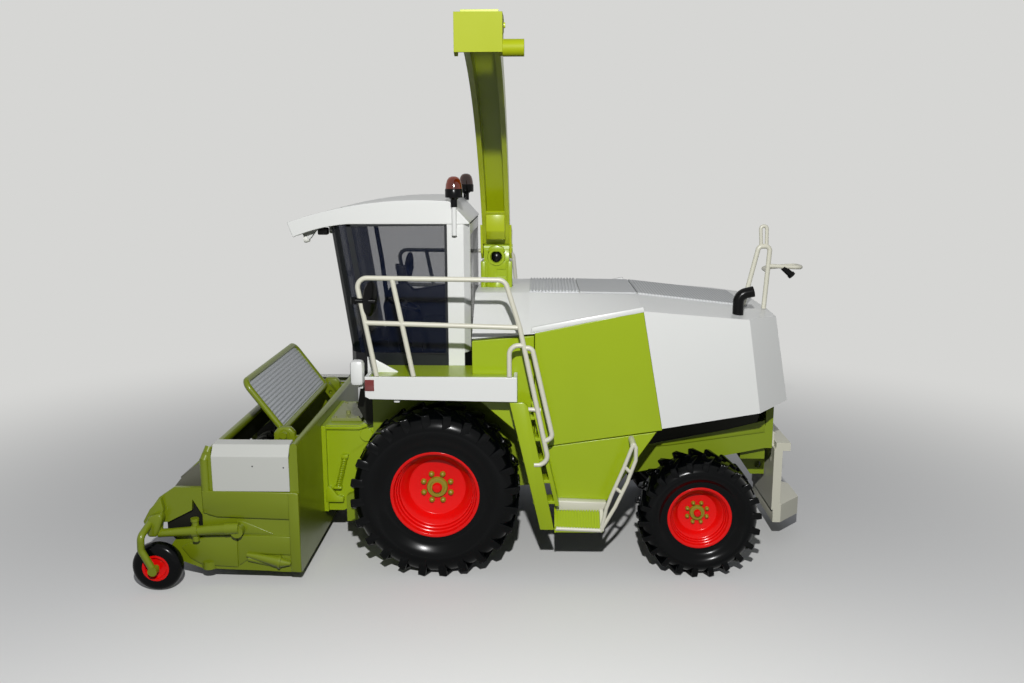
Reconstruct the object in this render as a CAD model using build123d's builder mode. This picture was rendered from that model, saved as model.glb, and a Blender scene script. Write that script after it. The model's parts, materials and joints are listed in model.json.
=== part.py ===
"""Scale model (about 1:32) of a self-propelled forage harvester with a pick-up header.

Millimetres. +X is the driving direction, +Y the machine's left, +Z up, and the wheels stand on z = 0.
Sizes are given in the machine's own frame, which starts on the ground below the middle of the front axle.
The planes and the points made below move that frame so that the model's origin is the middle of its base.
"""

import os
from math import asin, cos, degrees, radians, sin

from build123d import *

os.makedirs("parts", exist_ok=True)

SIDES = (("left", 1), ("right", -1))

# ---------------------------------------------------------------- driving dimensions
wheelbase = 88.0
rear_axle_seat = 34.0
front_tyre_radius = 28.3
front_tyre_width = 20.0
front_tyre_outside = 47.0      # outer face, from the centreline
front_rim_radius = 14.9
front_hub_recess = 8.2
rear_tyre_radius = 20.4
rear_tyre_width = 16.0
rear_tyre_outside = 45.5
rear_rim_radius = 10.7
rear_hub_recess = 5.6
rim_inset = 2.3                # rim edge behind the tyre's face
lug_height = 0.05               # of the tyre's radius
lug_width = 0.10                # of the tyre's radius, along the tread
lug_root = 1.8                  # a lug's own height over the part of it that stands clear
lug_middle = 0.105              # how far a lug lies round the tread at the tyre's middle
lug_shoulder = 0.07             # and at its shoulder, the other way
front_lugs = 24                 # in each of the two rows
rear_lugs = 22
tyre_facets = 20
gauge_facets = 12
bead_width = 1.0               # height of a rim's lip over the tyre's bead
running_clearance = 0.05       # radial, shafts and pins in their bores
side_clearance = 0.3           # between pieces that turn past each other

gauge_wheel_x = 89.3
gauge_wheel_y = 57.0
gauge_wheel_radius = 8.1
gauge_wheel_width = 5.0
gauge_tube = 1.15              # radius of the wheel's bent carrier

frame_outside = 21.5           # chassis side plates
frame_plate = 3.3
front_axle_tube = 4.5
stub_radius = 2.0
king_pin_y = 25.0
king_pin_radius = 1.3

body_half_width = 39.0
top_half_width = 19.0
hood_wall = 1.6
panel_step = 0.6                # front and belly panels behind the hood's side
top_panel_height = 0.6
hood_front = -12.4
panel_front = -33.0
rear_ladder_tail = -130.5

cab_half_width = 25.4
cab_floor = 66.0
cab_sill = 72.5
cab_rear = -11.0
glass_top = 116.4
glass_thickness = 1.0
roof_side_overhang = 0.4
roof_half_width = cab_half_width + roof_side_overhang
post_front = -3.4
post_rear = -9.0
post_thickness = 1.4

platform_outside = 47.0
platform_top = 69.0
platform_depth = 7.6
platform_front = 21.8
platform_rear = -27.4
rail_radius = 0.8

spout_x = -19.1
turret_radius = 5.6
spout_hinge_y = 1.2
spout_hinge_z = 106.2
spout_half_width = 4.8
spout_wall = 1.6
spout_sheet = 0.8
spout_cheek_inner = 4.7         # the hinge cheeks stand outside the turret and lap the boom's walls
spout_cheek_outer = 5.5
spout_outer_radius = 136.2      # the boom's back is one arc, from its foot above the hinge
spout_foot_angle = 31.9
spout_foot_y = -1.7
spout_foot_z = 111.7
spout_arc_y = spout_foot_y + spout_outer_radius * cos(radians(spout_foot_angle))
spout_arc_z = spout_foot_z - spout_outer_radius * sin(radians(spout_foot_angle))
spout_depth = 7.1
spout_tip_angle = 81.8
spout_floor_angle = 6.3         # how far round the plate that closes the channel reaches
flap_pin_depth = 3.0            # below the boom's back
flap_pin_angle = spout_tip_angle - 1.4
flap_pin_y = spout_arc_y - (spout_outer_radius - flap_pin_depth) * cos(radians(flap_pin_angle))
flap_pin_z = spout_arc_z + (spout_outer_radius - flap_pin_depth) * sin(radians(flap_pin_angle))
flap_pin_radius = 0.7
flap_reach = 8.8
flap_rise = 2.1
flap_drop = 7.4
flap_face_y = flap_pin_y + flap_reach
flap_top_z = flap_pin_z + flap_rise
flap_low_z = flap_pin_z - flap_drop

header_outside = 52.0          # outer face of the header's end plates
header_plate = 1.5
header_rear = 43.5
trough_half_width = 44.5
auger_x = 57.0
auger_z = 20.5
auger_radius = 9.4
auger_tube = 4.5
flight_pitch = 17.0
flight_thickness = 0.9
reel_x = 77.5
reel_z = 15.0
reel_drum = 6.8
reel_tip = 11.2
feeder_half_width = 16.6
lift_pin_x = 14.0
lift_pin_z = 36.0
lift_pin_radius = 1.6
guard_pin_x = 50.9
guard_pin_z = 43.9
guard_pin_radius = 0.8
guard_angle = 53.5
guard_half_width = 33.6
guard_reach = 25.6
guard_tube = 1.1

hitch_bore = 2.6
hitch_x = -115.6
hitch_z = 26.5

# ---------------------------------------------------------------- where the origin lies
nose_x = gauge_wheel_x + gauge_wheel_radius
fork_y = gauge_wheel_y + gauge_wheel_width / 2 + 0.5 + gauge_tube
left_reach = flap_face_y
right_reach = fork_y + gauge_tube
ORIGIN_X = -(nose_x + rear_ladder_tail) / 2
ORIGIN_Y = -(left_reach - right_reach) / 2


# ---------------------------------------------------------------- planes and shared shapes
def point(x, y, z):
    """A point of the machine's frame in the model's frame."""
    return Vector(ORIGIN_X + x, ORIGIN_Y + y, z)


def side_plane(y=0.0):
    """Parallel to the machine's side: local x forward, local y up, normal to the right."""
    return Plane(origin=point(0, y, 0), x_dir=(1, 0, 0), z_dir=(0, -1, 0))


def cross_plane(x=0.0):
    """Across the machine: local x to the left, local y up, normal forward."""
    return Plane(origin=point(x, 0, 0), x_dir=(0, 1, 0), z_dir=(1, 0, 0))


def level_plane(z=0.0):
    """Level: local x forward, local y to the left, normal up."""
    return Plane(origin=point(0, 0, z), x_dir=(1, 0, 0), z_dir=(0, 0, 1))


def side_plate(outline, y_from, y_to, mode=Mode.ADD):
    """A plate with an outline of (x, z) points between two distances from the centreline."""
    with BuildSketch(side_plane(max(y_from, y_to))) as profile:
        Polygon(*outline, align=None)
    extrude(profile.sketch, amount=abs(y_to - y_from), mode=mode)


def cross_plate(outline, x_from, x_to, mode=Mode.ADD):
    """A plate with an outline of (y, z) points between two stations along the machine."""
    with BuildSketch(cross_plane(min(x_from, x_to))) as profile:
        Polygon(*outline, align=None)
    extrude(profile.sketch, amount=abs(x_to - x_from), mode=mode)


def level_plate(outline, z_from, z_to, mode=Mode.ADD):
    """A plate with an outline of (x, y) points between two heights."""
    with BuildSketch(level_plane(min(z_from, z_to))) as profile:
        Polygon(*outline, align=None)
    extrude(profile.sketch, amount=abs(z_to - z_from), mode=mode)


def block(x, y, z, mode=Mode.ADD):
    """A block between pairs of stations, distances and heights."""
    corners = ((x[0], z[0]), (x[1], z[0]), (x[1], z[1]), (x[0], z[1]))
    side_plate(corners, y[0], y[1], mode)


def bar(start, end, radius, mode=Mode.ADD):
    """A straight round bar between two (x, y, z) points."""
    foot, head = point(*start), point(*end)
    with BuildSketch(Plane(origin=foot, z_dir=head - foot)) as section:
        Circle(radius)
    extrude(section.sketch, amount=(head - foot).length, mode=mode)


def bent_bar(points, radius, bend):
    """A round bar through (x, y, z) points with its corners bent."""
    with BuildLine() as path:
        FilletPolyline(*[point(*corner) for corner in points], radius=bend)
    with BuildSketch(Plane(origin=path.line @ 0, z_dir=path.line % 0)) as section:
        Circle(radius)
    sweep(section.sketch, path=path.line)


def turned(plane, profile, mode=Mode.ADD, centre=(0, 0)):
    """A turned shape: the profile's (distance, radius) points about a Y-parallel axis at a (y, z) centre."""
    with BuildSketch(plane) as half:
        Polygon(*[(centre[0] + d, centre[1] + r) for d, r in profile], align=None)
    axis = Axis(plane.from_local_coords((centre[0], centre[1], 0)), (0, 1, 0))
    revolve(half.sketch, axis=axis, mode=mode)


def save(name, piece):
    """Label a finished piece and write it out."""
    piece.label = name
    export_step(piece, f"parts/{name}.step")


def mirrored(outline):
    """An outline of (y, z) points given for the left half, closed over the right half."""
    return list(outline) + [(-y, z) for y, z in reversed(outline)]


# ---------------------------------------------------------------- wheels
def wheel_places():
    # columns: name, axle x, side, tyre radius, tyre width, outer face, rim radius, hub recess, lugs, their lean
    front = (front_tyre_radius, front_tyre_width, front_tyre_outside, front_rim_radius, front_hub_recess,
             front_lugs, 1)
    rear = (rear_tyre_radius, rear_tyre_width, rear_tyre_outside, rear_rim_radius, rear_hub_recess, rear_lugs, -1)
    for side, sign in SIDES:
        yield (f"front_{side}", 0.0, sign) + front
        yield (f"rear_{side}", -wheelbase, sign) + rear


def disc_face(outside, recess):
    """Distance of a wheel disc's outer face from the centreline."""
    return outside - rim_inset - recess


def facets(centre, count, sections, mode=Mode.ADD):
    """A form in flat facets round an axle at centre (x, z): sections are (y, corner radius)."""
    rings = [[point(centre[0] + radius * cos(radians(360 * k / count)), y,
                    centre[1] + radius * sin(radians(360 * k / count))) for k in range(count)]
             for y, radius in sections]
    sides = [(near[k], near[k - 1], far[k - 1], far[k]) for near, far in zip(rings, rings[1:])
             for k in range(count)]
    flats = [Face(Wire.make_polygon(corners, close=True)) for corners in sides + [rings[0], rings[-1]]]
    add(Solid(Shell(flats)), mode=mode)


def lug(centre, y, sign, angle, radius, half, lean):
    """A slanted tread lug from the tyre's middle to its shoulder; its highest corners lie on the radius."""
    thick = lug_width * radius / 2
    near, far = -lean * lug_middle * radius, lean * lug_shoulder * radius
    tip = (radius ** 2 - (lug_middle * radius + thick) ** 2) ** 0.5
    root = (1 - lug_root * lug_height) * radius
    normal = (cos(radians(angle)), 0, sin(radians(angle)))
    plane = Plane(origin=point(centre[0] + tip * normal[0], y, centre[1] + tip * normal[2]), x_dir=(0, 1, 0),
                  z_dir=normal)
    with BuildSketch(plane) as outline:
        Polygon((sign * 0.3, near - thick), (sign * 0.3, near + thick), (sign * half, far + thick),
                (sign * half, far - thick), align=None)
    return extrude(outline.sketch, amount=root - tip, mode=Mode.PRIVATE)


def tyre(name, x, sign, radius, width, outside, rim_radius, lugs, lean):
    """A tyre in flat facets, so that it stays light, with its lugs; lean 1 or -1 turns the chevrons."""
    y, centre = sign * (outside - width / 2), (x, radius)
    half = width / 2
    bead = half - rim_inset - 0.9
    bulge = rim_radius + 0.3 * (radius - rim_radius)
    tread = (1 - lug_height) * radius
    cover = rim_radius / cos(radians(180 / tyre_facets)) + 0.02
    with BuildPart() as tyre_part:
        facets(centre, tyre_facets, ((y - half, tread), (y + half, tread)))
        for row in (1, -1):
            facets(centre, tyre_facets, ((y + row * bead, cover), (y + row * half, bulge)), Mode.SUBTRACT)
        first = -90 - degrees(asin(lug_middle + lug_width / 2))
        add([lug(centre, y, row, first + (turn + 0.25 - 0.25 * row) * 360 / lugs, radius, half, lean)
             for row in (1, -1) for turn in range(lugs)])
        bar((x, y - half, radius), (x, y + half, radius), rim_radius - bead_width, Mode.SUBTRACT)
    save(f"{name}_tyre", tyre_part.part)


def rim(name, x, sign, radius, width, outside, rim_radius, recess):
    """The rim with its dish, turned about the axle; its distances run outward from the wheel's middle."""
    middle = outside - width / 2
    lip = width / 2 - rim_inset
    seat = rim_radius - bead_width
    face = disc_face(outside, recess) - middle
    back = face - 2.0
    well = seat - 1.2
    profile = ((-lip, seat), (-lip, rim_radius), (-lip + 0.9, rim_radius), (-lip + 0.9, seat), (lip - 0.9, seat),
               (lip - 0.9, rim_radius), (lip, rim_radius), (lip, rim_radius - 1.2), (lip - 2.2, well - 0.3),
               (face + 1.6, well - 1.0), (face, well - 3.0), (face, 0), (back, 0), (back, well - 1.6),
               (back + 0.2, well), (-lip, well))
    bore = stub_radius + running_clearance
    with BuildPart() as rim_part:
        turned(cross_plane(x), [(sign * d, r) for d, r in profile], centre=(sign * middle, radius))
        hub = ((back - 2.0, 0), (back - 2.0, 4.6), (back + 0.1, 4.6), (back + 0.1, 0))
        turned(cross_plane(x), [(sign * d, r) for d, r in hub], centre=(sign * middle, radius))
        hole = ((back - 2.1, 0), (back - 2.1, bore), (face - 0.8, bore), (face - 0.8, 0))
        turned(cross_plane(x), [(sign * d, r) for d, r in hole], Mode.SUBTRACT, (sign * middle, radius))
        hub_ring(x, sign, radius, outside, recess, rim_radius)
    save(f"{name}_rim", rim_part.part)


def hub_ring(x, sign, radius, outside, recess, rim_radius):
    """The hub's raised ring, its cap and the ring of wheel nuts, on the disc's face."""
    face = disc_face(outside, recess)
    ring = 0.235 * rim_radius
    inside = sign * (face - 0.2)
    bar((x, inside, radius), (x, sign * (face + 0.9), radius), ring)
    bar((x, inside, radius), (x, sign * (face + 1.8), radius), 0.5 * ring)
    for turn in range(8):
        angle = radians(22.5 + 45 * turn)
        nut_x = x + 0.356 * rim_radius * cos(angle)
        nut_z = radius + 0.356 * rim_radius * sin(angle)
        bar((nut_x, inside, nut_z), (nut_x, sign * (face + 0.9), nut_z), 0.05 * rim_radius)


def road_wheels():
    for name, x, sign, radius, width, outside, rim_radius, recess, lugs, lean in wheel_places():
        tyre(name, x, sign, radius, width, outside, rim_radius, lugs, lean)
        rim(name, x, sign, radius, width, outside, rim_radius, recess)


# ---------------------------------------------------------------- chassis and axles
def chassis():
    inside = frame_outside - frame_plate
    side_outline = ((34.5, 9.6), (34.5, 19.0), (24.0, 24.0), (24.0, 60.0), (-33.0, 60.0), (-33.0, 40.0),
                    (-62.0, 37.6), (-113.6, 46.2), (-113.6, 38.0), (-71.0, 29.4), (-58.0, 26.6), (-33.0, 24.0),
                    (16.0, 20.0), (28.0, 9.6))
    pin_hole = lift_pin_radius + running_clearance
    with BuildPart() as chassis_part:
        for _, sign in SIDES:
            side_plate(side_outline, sign * inside, sign * frame_outside)
        block((-33.0, 3.0), (-inside, inside), (40.0, 60.0))
        block((3.0, 24.0), (-inside, inside), (56.0, 60.0))
        block((-11.0, 24.0), (-frame_outside, frame_outside), (60.0, cab_floor))
        block((-33.0, -6.0), (-inside, inside), (26.0, 40.0))
        block((-64.0, -60.0), (-inside, inside), (28.5, 37.0))
        block((-wheelbase - 4.0, -wheelbase + 4.0), (-inside, inside), (rear_axle_seat, 39.0))
        block((-116.2, -113.6), (-frame_outside, frame_outside), (38.0, 56.0))
        bar((lift_pin_x, -frame_outside - 1, lift_pin_z), (lift_pin_x, frame_outside + 1, lift_pin_z), pin_hole,
            Mode.SUBTRACT)
        # rear cross beam and the two jaw plates of the hitch
        block((-114.6, -106.0), (-inside, inside), (33.0, 39.6))
        for _, sign in SIDES:
            side_plate(((-118.0, 22.8), (-118.0, 38.4), (-106.0, 38.4), (-106.0, 33.0), (-113.0, 22.8)),
                       sign * 3.2, sign * 4.8)
        bar((hitch_x, -6, hitch_z), (hitch_x, 6, hitch_z), hitch_bore / 2, Mode.SUBTRACT)
    save("chassis", chassis_part.part)


def front_axle():
    """Axle tube with final drives; a stub on each end carries a wheel."""
    face = disc_face(front_tyre_outside, front_hub_recess)
    hub_back = face - 4.0
    with BuildPart() as axle_part:
        for _, sign in SIDES:
            start = sign * frame_outside
            bar((0, start, front_tyre_radius), (0, sign * (hub_back - side_clearance), front_tyre_radius),
                front_axle_tube)
            bar((0, start, front_tyre_radius), (0, sign * (face - 1.1), front_tyre_radius), stub_radius)
            bar((0, start, front_tyre_radius), (0, sign * (start * sign + 3.0), front_tyre_radius), 8.0)
    save("front_axle", axle_part.part)


def rear_axle():
    """Beam axle below the frame with a fork on each end for the steering knuckle."""
    z = rear_tyre_radius
    with BuildPart() as axle_part:
        side_plate(((-wheelbase - 3.5, z - 2.6), (-wheelbase + 3.5, z - 2.6), (-wheelbase + 3.5, z + 2.6),
                    (-wheelbase - 3.5, z + 2.6)), -(king_pin_y - 4.2), king_pin_y - 4.2)
        block((-wheelbase - 4.0, -wheelbase + 4.0), (-6.0, 6.0), (z + 2.6, rear_axle_seat))
        for _, sign in SIDES:
            for low, high in ((z - 6.2, z - 4.2), (z + 4.2, z + 6.2)):
                block((-wheelbase - 2.6, -wheelbase + 2.6), (sign * (king_pin_y - 6.0), sign * (king_pin_y + 2.4)),
                      (low, high))
                bar((-wheelbase, sign * king_pin_y, low), (-wheelbase, sign * king_pin_y, high),
                    king_pin_radius + running_clearance, Mode.SUBTRACT)
            block((-wheelbase - 2.6, -wheelbase + 2.6), (sign * (king_pin_y - 6.0), sign * (king_pin_y - 4.2)),
                  (z - 6.2, z + 6.2))
    save("rear_axle", axle_part.part)


def knuckles():
    """Steering knuckles: a king pin in the axle's fork and a stub for the wheel."""
    z = rear_tyre_radius
    face = disc_face(rear_tyre_outside, rear_hub_recess)
    for side, sign in SIDES:
        with BuildPart() as knuckle_part:
            bar((-wheelbase, sign * king_pin_y, z - 6.2), (-wheelbase, sign * king_pin_y, z + 6.2), king_pin_radius)
            bar((-wheelbase, sign * king_pin_y, z - 3.9), (-wheelbase, sign * king_pin_y, z + 3.9), 2.6)
            bar((-wheelbase, sign * king_pin_y, z), (-wheelbase, sign * (face - 4.0 - side_clearance), z), 3.0)
            bar((-wheelbase, sign * king_pin_y, z), (-wheelbase, sign * (face - 1.1), z), stub_radius)
        save(f"steering_knuckle_{side}", knuckle_part.part)


# ---------------------------------------------------------------- body
def body_sections():
    # columns: x, shoulder height, top height, lower edge
    return ((hood_front, 80.0, 92.5, 60.5), (-30.6, 81.6, 92.5, 43.2), (-68.2, 89.3, 91.9, 48.7),
            (-125.0, 84.8, 85.6, 58.5))


def hood_top(x):
    """Height of the hood's flat top at a station, from the sections."""
    stations = body_sections()
    for ahead, behind in zip(stations, stations[1:]):
        if ahead[0] >= x >= behind[0]:
            share = (ahead[0] - x) / (ahead[0] - behind[0])
            return ahead[2] + share * (behind[2] - ahead[2])
    return stations[-1][2]


def body_solid(shrink=0.0):
    """The body's outer form from ruled sections, cut by its slanting rear faces; shrink gives the inside."""
    half, top = body_half_width - shrink, top_half_width - 0.4 * shrink
    drop = 5.0 if shrink else 0.0
    with BuildPart() as body:
        for x, shoulder, crown, low in body_sections():
            with BuildSketch(cross_plane(x)):
                Polygon(*mirrored(((half, low - drop), (half, shoulder - shrink / 2), (top, crown - shrink))),
                        align=None)
        loft(ruled=True)
        rear = Plane(origin=point(-112.7 + shrink, 0, 88.1), x_dir=(0, 1, 0), z_dir=(-30.1, 0, 5.6))
        split(bisect_by=rear, keep=Keep.BOTTOM)
        for _, sign in SIDES:
            corner = point(-102.4 + shrink, sign * (39.0 - 0.4 * shrink), 86.6)
            along = point(-112.7 + shrink, sign * (30.0 - 0.4 * shrink), 88.1) - corner
            down = point(-107.3 + shrink, sign * (39.0 - 0.4 * shrink), 55.0) - corner
            normal = along.cross(down) * sign
            facet = Plane(origin=corner, z_dir=normal)
            if (point(-60, 0, 70) - corner).dot(facet.z_dir) > 0:
                facet = Plane(origin=corner, z_dir=normal * -1)
            split(bisect_by=facet, keep=Keep.BOTTOM)
    return body.part


def panel_outline():
    """The green side panel: front edge, shoulder line, rear joint and lower edge."""
    return ((panel_front, 43.0), (panel_front, 82.0), (-68.2, 89.4), (-75.4, 49.3))


def body(outer):
    inner = body_solid(hood_wall)
    with BuildPart() as shell:
        add(outer)
        add(inner, mode=Mode.SUBTRACT)
        for _, sign in SIDES:
            low_front = ((hood_front + 1, 40.0), (hood_front + 1, 80.0), (panel_front, 81.8), (panel_front, 40.0))
            below = ((hood_front + 1, 40.0), (hood_front + 1, 64.0), (panel_front, 52.0), (panel_front, 40.0))
            side_plate(below, sign * (body_half_width - 8), sign * (body_half_width + 1), Mode.SUBTRACT)
            side_plate(panel_outline() + ((-55.0, 30.0),), sign * (body_half_width - hood_wall),
                       sign * (body_half_width + 1), Mode.SUBTRACT)
            side_plate(low_front, sign * (body_half_width - hood_wall - panel_step), sign * (body_half_width + 1),
                       Mode.SUBTRACT)
        bar((spout_x, 0, 85), (spout_x, 0, 95), turret_radius + side_clearance, Mode.SUBTRACT)
    save("hood_shell", shell.part)


def body_panels():
    """Green side panels flush with the hood, and the front and belly panels a step behind them."""
    outside = body_half_width - panel_step
    inside = outside - hood_wall
    with BuildPart() as side_panels:
        for _, sign in SIDES:
            side_plate(panel_outline(), sign * (body_half_width - hood_wall), sign * body_half_width)
    save("side_panels", side_panels.part)
    front = ((hood_front, 61.0), (hood_front, 79.2), (panel_front + 0.2, 81.0), (panel_front + 0.2, 43.4))
    belly = ((-35.3, 43.0), (-73.6, 48.6), (-56.5, 23.0), (-40.5, 23.0))
    with BuildPart() as lower_panels:
        for _, sign in SIDES:
            side_plate(front, sign * inside, sign * outside)
            side_plate(belly, sign * inside, sign * outside)
            block((-57.0, -42.0), (sign * frame_outside, sign * inside), (29.5, 31.5))
    save("lower_panels", lower_panels.part)


def chassis_bulkheads():
    """Plates that carry the hood on the frame."""
    with BuildPart() as carriers:
        plate_half = frame_outside - frame_plate
        for x, low, high in ((-33.0, 60.0, 89.0), (-100.0, 36.0, 84.0)):
            block((x, x + 2.0), (-plate_half, plate_half), (low, high))
        inside = body_half_width - hood_wall - panel_step
        cross_plate(mirrored(((inside, 61.0), (inside, 78.0), (top_half_width - 2.0, 89.5))), hood_front - 1.6,
                    hood_front - 0.1)
    save("hood_carriers", carriers.part)


def top_panels():
    """Grille and covers on the hood's flat top."""
    # columns: name, front x, rear x, slots across it
    for name, front, rear, slots in (("air_grille", -31.0, -48.0, 8), ("engine_cover", -48.4, -68.0, 0),
                                     ("radiator_screen", -68.4, -106.0, 0)):
        low = [(front, hood_top(front)), (rear, hood_top(rear))]
        high = [(x, z + top_panel_height) for x, z in reversed(low)]
        with BuildPart() as panel:
            side_plate(low + high, -top_half_width + 1.2, top_half_width - 1.2)
            for slot in range(slots):
                x = front - 2.0 * (slot + 0.8)
                block((x - 0.9, x), (-top_half_width + 2.4, top_half_width - 2.4), (0, 120.0), Mode.SUBTRACT)
        save(name, panel.part)


# ---------------------------------------------------------------- cab
def cab():
    front_low, front_high = 28.4, 34.6
    roof_solid = roof()
    with BuildPart() as tub:
        level_plate(((cab_rear, -22.0), (cab_rear + 2.6, -cab_half_width), (front_low, -cab_half_width),
                     (front_low + 4.0, -12.0), (front_low + 4.0, 12.0), (front_low, cab_half_width),
                     (cab_rear + 2.6, cab_half_width), (cab_rear, 22.0)), cab_floor, cab_sill)
        level_plate(((cab_rear + 1.5, -20.8), (cab_rear + 3.4, -24.0), (front_low - 0.6, -24.0),
                     (front_low + 2.6, -11.0), (front_low + 2.6, 11.0), (front_low - 0.6, 24.0),
                     (cab_rear + 3.4, 24.0), (cab_rear + 1.5, 20.8)), cab_floor + 1.5, cab_sill + 1, Mode.SUBTRACT)
        for _, sign in SIDES:
            block((post_rear, post_front), (sign * (cab_half_width - post_thickness), sign * (cab_half_width + 1)),
                  (cab_floor - 1, cab_sill + 1), Mode.SUBTRACT)
    save("cab_tub", tub.part)
    with BuildPart() as posts:
        for _, sign in SIDES:
            side_plate(((post_rear, cab_floor), (post_front, cab_floor), (post_front, glass_top),
                        (post_rear, glass_top)), sign * (cab_half_width - post_thickness), sign * cab_half_width)
            level_plate(((post_rear, sign * cab_half_width), (post_rear, sign * (cab_half_width - post_thickness)),
                         (cab_rear, sign * 20.6), (cab_rear, sign * 22.0)), cab_sill, glass_top)
        block((cab_rear, cab_rear + 1.2), (-21.0, 21.0), (cab_sill, 80.0))
        block((cab_rear, cab_rear + 1.2), (-21.0, 21.0), (112.5, glass_top))
    save("cab_posts", posts.part)
    glass_face = cab_half_width - 0.2
    with BuildPart() as windows:
        for _, sign in SIDES:
            side_plate(((post_front, cab_sill), (front_low - 1.6, cab_sill), (front_high - 1.6, glass_top),
                        (post_front, glass_top)), sign * (glass_face - glass_thickness), sign * glass_face)
        add(roof_solid, mode=Mode.SUBTRACT)
        block((cab_rear + 0.1, cab_rear + 0.1 + glass_thickness), (-20.6, 20.6), (80.0, 112.5))
    save("cab_windows", windows.part)
    with BuildPart() as screen:
        for height, offset in ((cab_sill, 0.0), (glass_top, front_high - front_low)):
            with BuildSketch(level_plane(height)):
                Polygon((front_low - 1.6 + offset, -cab_half_width + 0.2), (front_low + 1.6 + offset, -22.5),
                        (front_low + 4.0 + offset, -11.0), (front_low + 4.0 + offset, 11.0),
                        (front_low + 1.6 + offset, 22.5), (front_low - 1.6 + offset, cab_half_width - 0.2),
                        (front_low - 1.6 + offset, cab_half_width - 1.2), (front_low + 0.8 + offset, 21.8),
                        (front_low + 3.0 + offset, 10.8), (front_low + 3.0 + offset, -10.8),
                        (front_low + 0.8 + offset, -21.8), (front_low - 1.6 + offset, -cab_half_width + 1.2),
                        align=None)
        loft(ruled=True)
        add(roof_solid, mode=Mode.SUBTRACT)
    save("windscreen", screen.part)


def roof():
    """The roof: arched above and below, with a long front visor."""
    with BuildPart() as roof_part:
        with BuildSketch(side_plane(roof_half_width)) as profile:
            with BuildLine():
                upper = ThreePointArc((50.3, 117.0), (24.0, 123.2), (-4.5, 124.0))
                chamfered = Line(upper @ 1, (cab_rear, glass_top + 0.6))
                flat = Line(chamfered @ 1, (cab_rear, glass_top))
                level = Line(flat @ 1, (30.0, glass_top))
                visor = ThreePointArc(level @ 1, (40.0, 114.8), (48.5, 112.0))
                Line(visor @ 1, upper @ 0)
            make_face()
        extrude(profile.sketch, amount=2 * roof_half_width)
    save("cab_roof", roof_part.part)
    return roof_part.part


def cab_interior():
    with BuildPart() as seat:
        block((-4.0, 8.0), (-6.5, 6.5), (cab_floor + 1.5, 80.0))
        side_plate(((-4.0, 80.0), (0.0, 80.0), (-2.6, 100.0), (-6.0, 100.0)), -6.0, 6.0)
        block((-5.4, -2.6), (-3.4, 3.4), (100.0, 104.5))
        side_plate(((-4.0, cab_floor + 1.5), (14.0, cab_floor + 1.5), (14.0, 84.0), (-2.0, 86.0)), -14.5, -9.0)
        block((-4.0, 8.0), (-9.0, -6.5), (cab_floor + 1.5, cab_floor + 3.5))
    save("seat", seat.part)
    with BuildPart() as column:
        side_plate(((17.0, cab_floor + 1.5), (22.0, cab_floor + 1.5), (16.5, 84.0), (14.5, 84.0)), -2.2, 2.2)
        wheel_plane = Plane(origin=point(15.2, 0, 85.0), x_dir=(0, 1, 0), z_dir=(-0.35, 0, 1))
        with BuildSketch(wheel_plane) as ring:
            Circle(6.2)
            Circle(5.0, mode=Mode.SUBTRACT)
            Rectangle(11.0, 1.2)
            Circle(1.6)
        extrude(ring.sketch, amount=1.0)
        bar((15.4, 0, 83.5), (15.0, 0, 85.2), 1.2)
    save("steering_wheel", column.part)


def beacons():
    """Rotating lamps on stub poles beside the roof."""
    x = -6.1
    with BuildPart() as poles:
        for _, sign in SIDES:
            y = sign * (roof_half_width + 1.15)
            bar((x, y, 112.8), (x, y, 122.2), 0.85)
            block((x - 0.5, x + 0.5), (sign * cab_half_width, y), (113.0, 116.2))
    save("beacon_poles", poles.part)
    with BuildPart() as lamps:
        for _, sign in SIDES:
            y = sign * (roof_half_width + 1.15)
            bar((x, y, 122.2), (x, y, 125.2), 1.1)
            bar((x, y, 125.2), (x, y, 129.6), 2.9)
            bar((x, y, 129.6), (x, y, 132.2), 2.0)
    save("beacons", lamps.part)


# ---------------------------------------------------------------- platforms, rails and ladders
def platforms():
    """Walkways on both sides: green decks with deep white skirts, and the head lamps in front of them."""
    low = platform_top - platform_depth
    deck = (platform_top - 2.0, platform_top - 0.8)
    with BuildPart() as skirts:
        for _, sign in SIDES:
            side_plate(((platform_front, platform_top), (platform_front, low + 1.0), (platform_front - 1.5, low + 0.2),
                        (platform_rear, low - 0.6), (platform_rear, platform_top)),
                       sign * (platform_outside - 1.2), sign * platform_outside)
            block((platform_front - 1.2, platform_front), (sign * (cab_half_width + 0.4), sign * platform_outside),
                  (low + 1.0, platform_top))
            block((platform_rear, platform_rear + 1.2), (sign * body_half_width, sign * platform_outside),
                  (low, platform_top))
    save("platform_skirts", skirts.part)
    with BuildPart() as decks:
        for _, sign in SIDES:
            block((platform_rear + 1.2, platform_front - 1.2),
                  (sign * body_half_width, sign * (platform_outside - 1.2)), deck)
            block((hood_front + 0.2, platform_front - 1.2), (sign * (cab_half_width + 0.2), sign * body_half_width),
                  deck)
            bearer = (sign * (cab_half_width + 6.0), sign * (cab_half_width + 8.0))
            block((-11.0, 20.0), (sign * frame_outside, bearer[1]), (60.0, 62.0))
            for x in (-11.0, 18.0):
                block((x, x + 2.0), bearer, (62.0, platform_top - 2.0))
    save("platform_decks", decks.part)
    with BuildPart() as lamps:
        for _, sign in SIDES:
            block((platform_front, platform_front + 6.0), (sign * 36.0, sign * 44.0), (60.5, 70.0))
    save("head_lamps", lamps.part)


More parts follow.
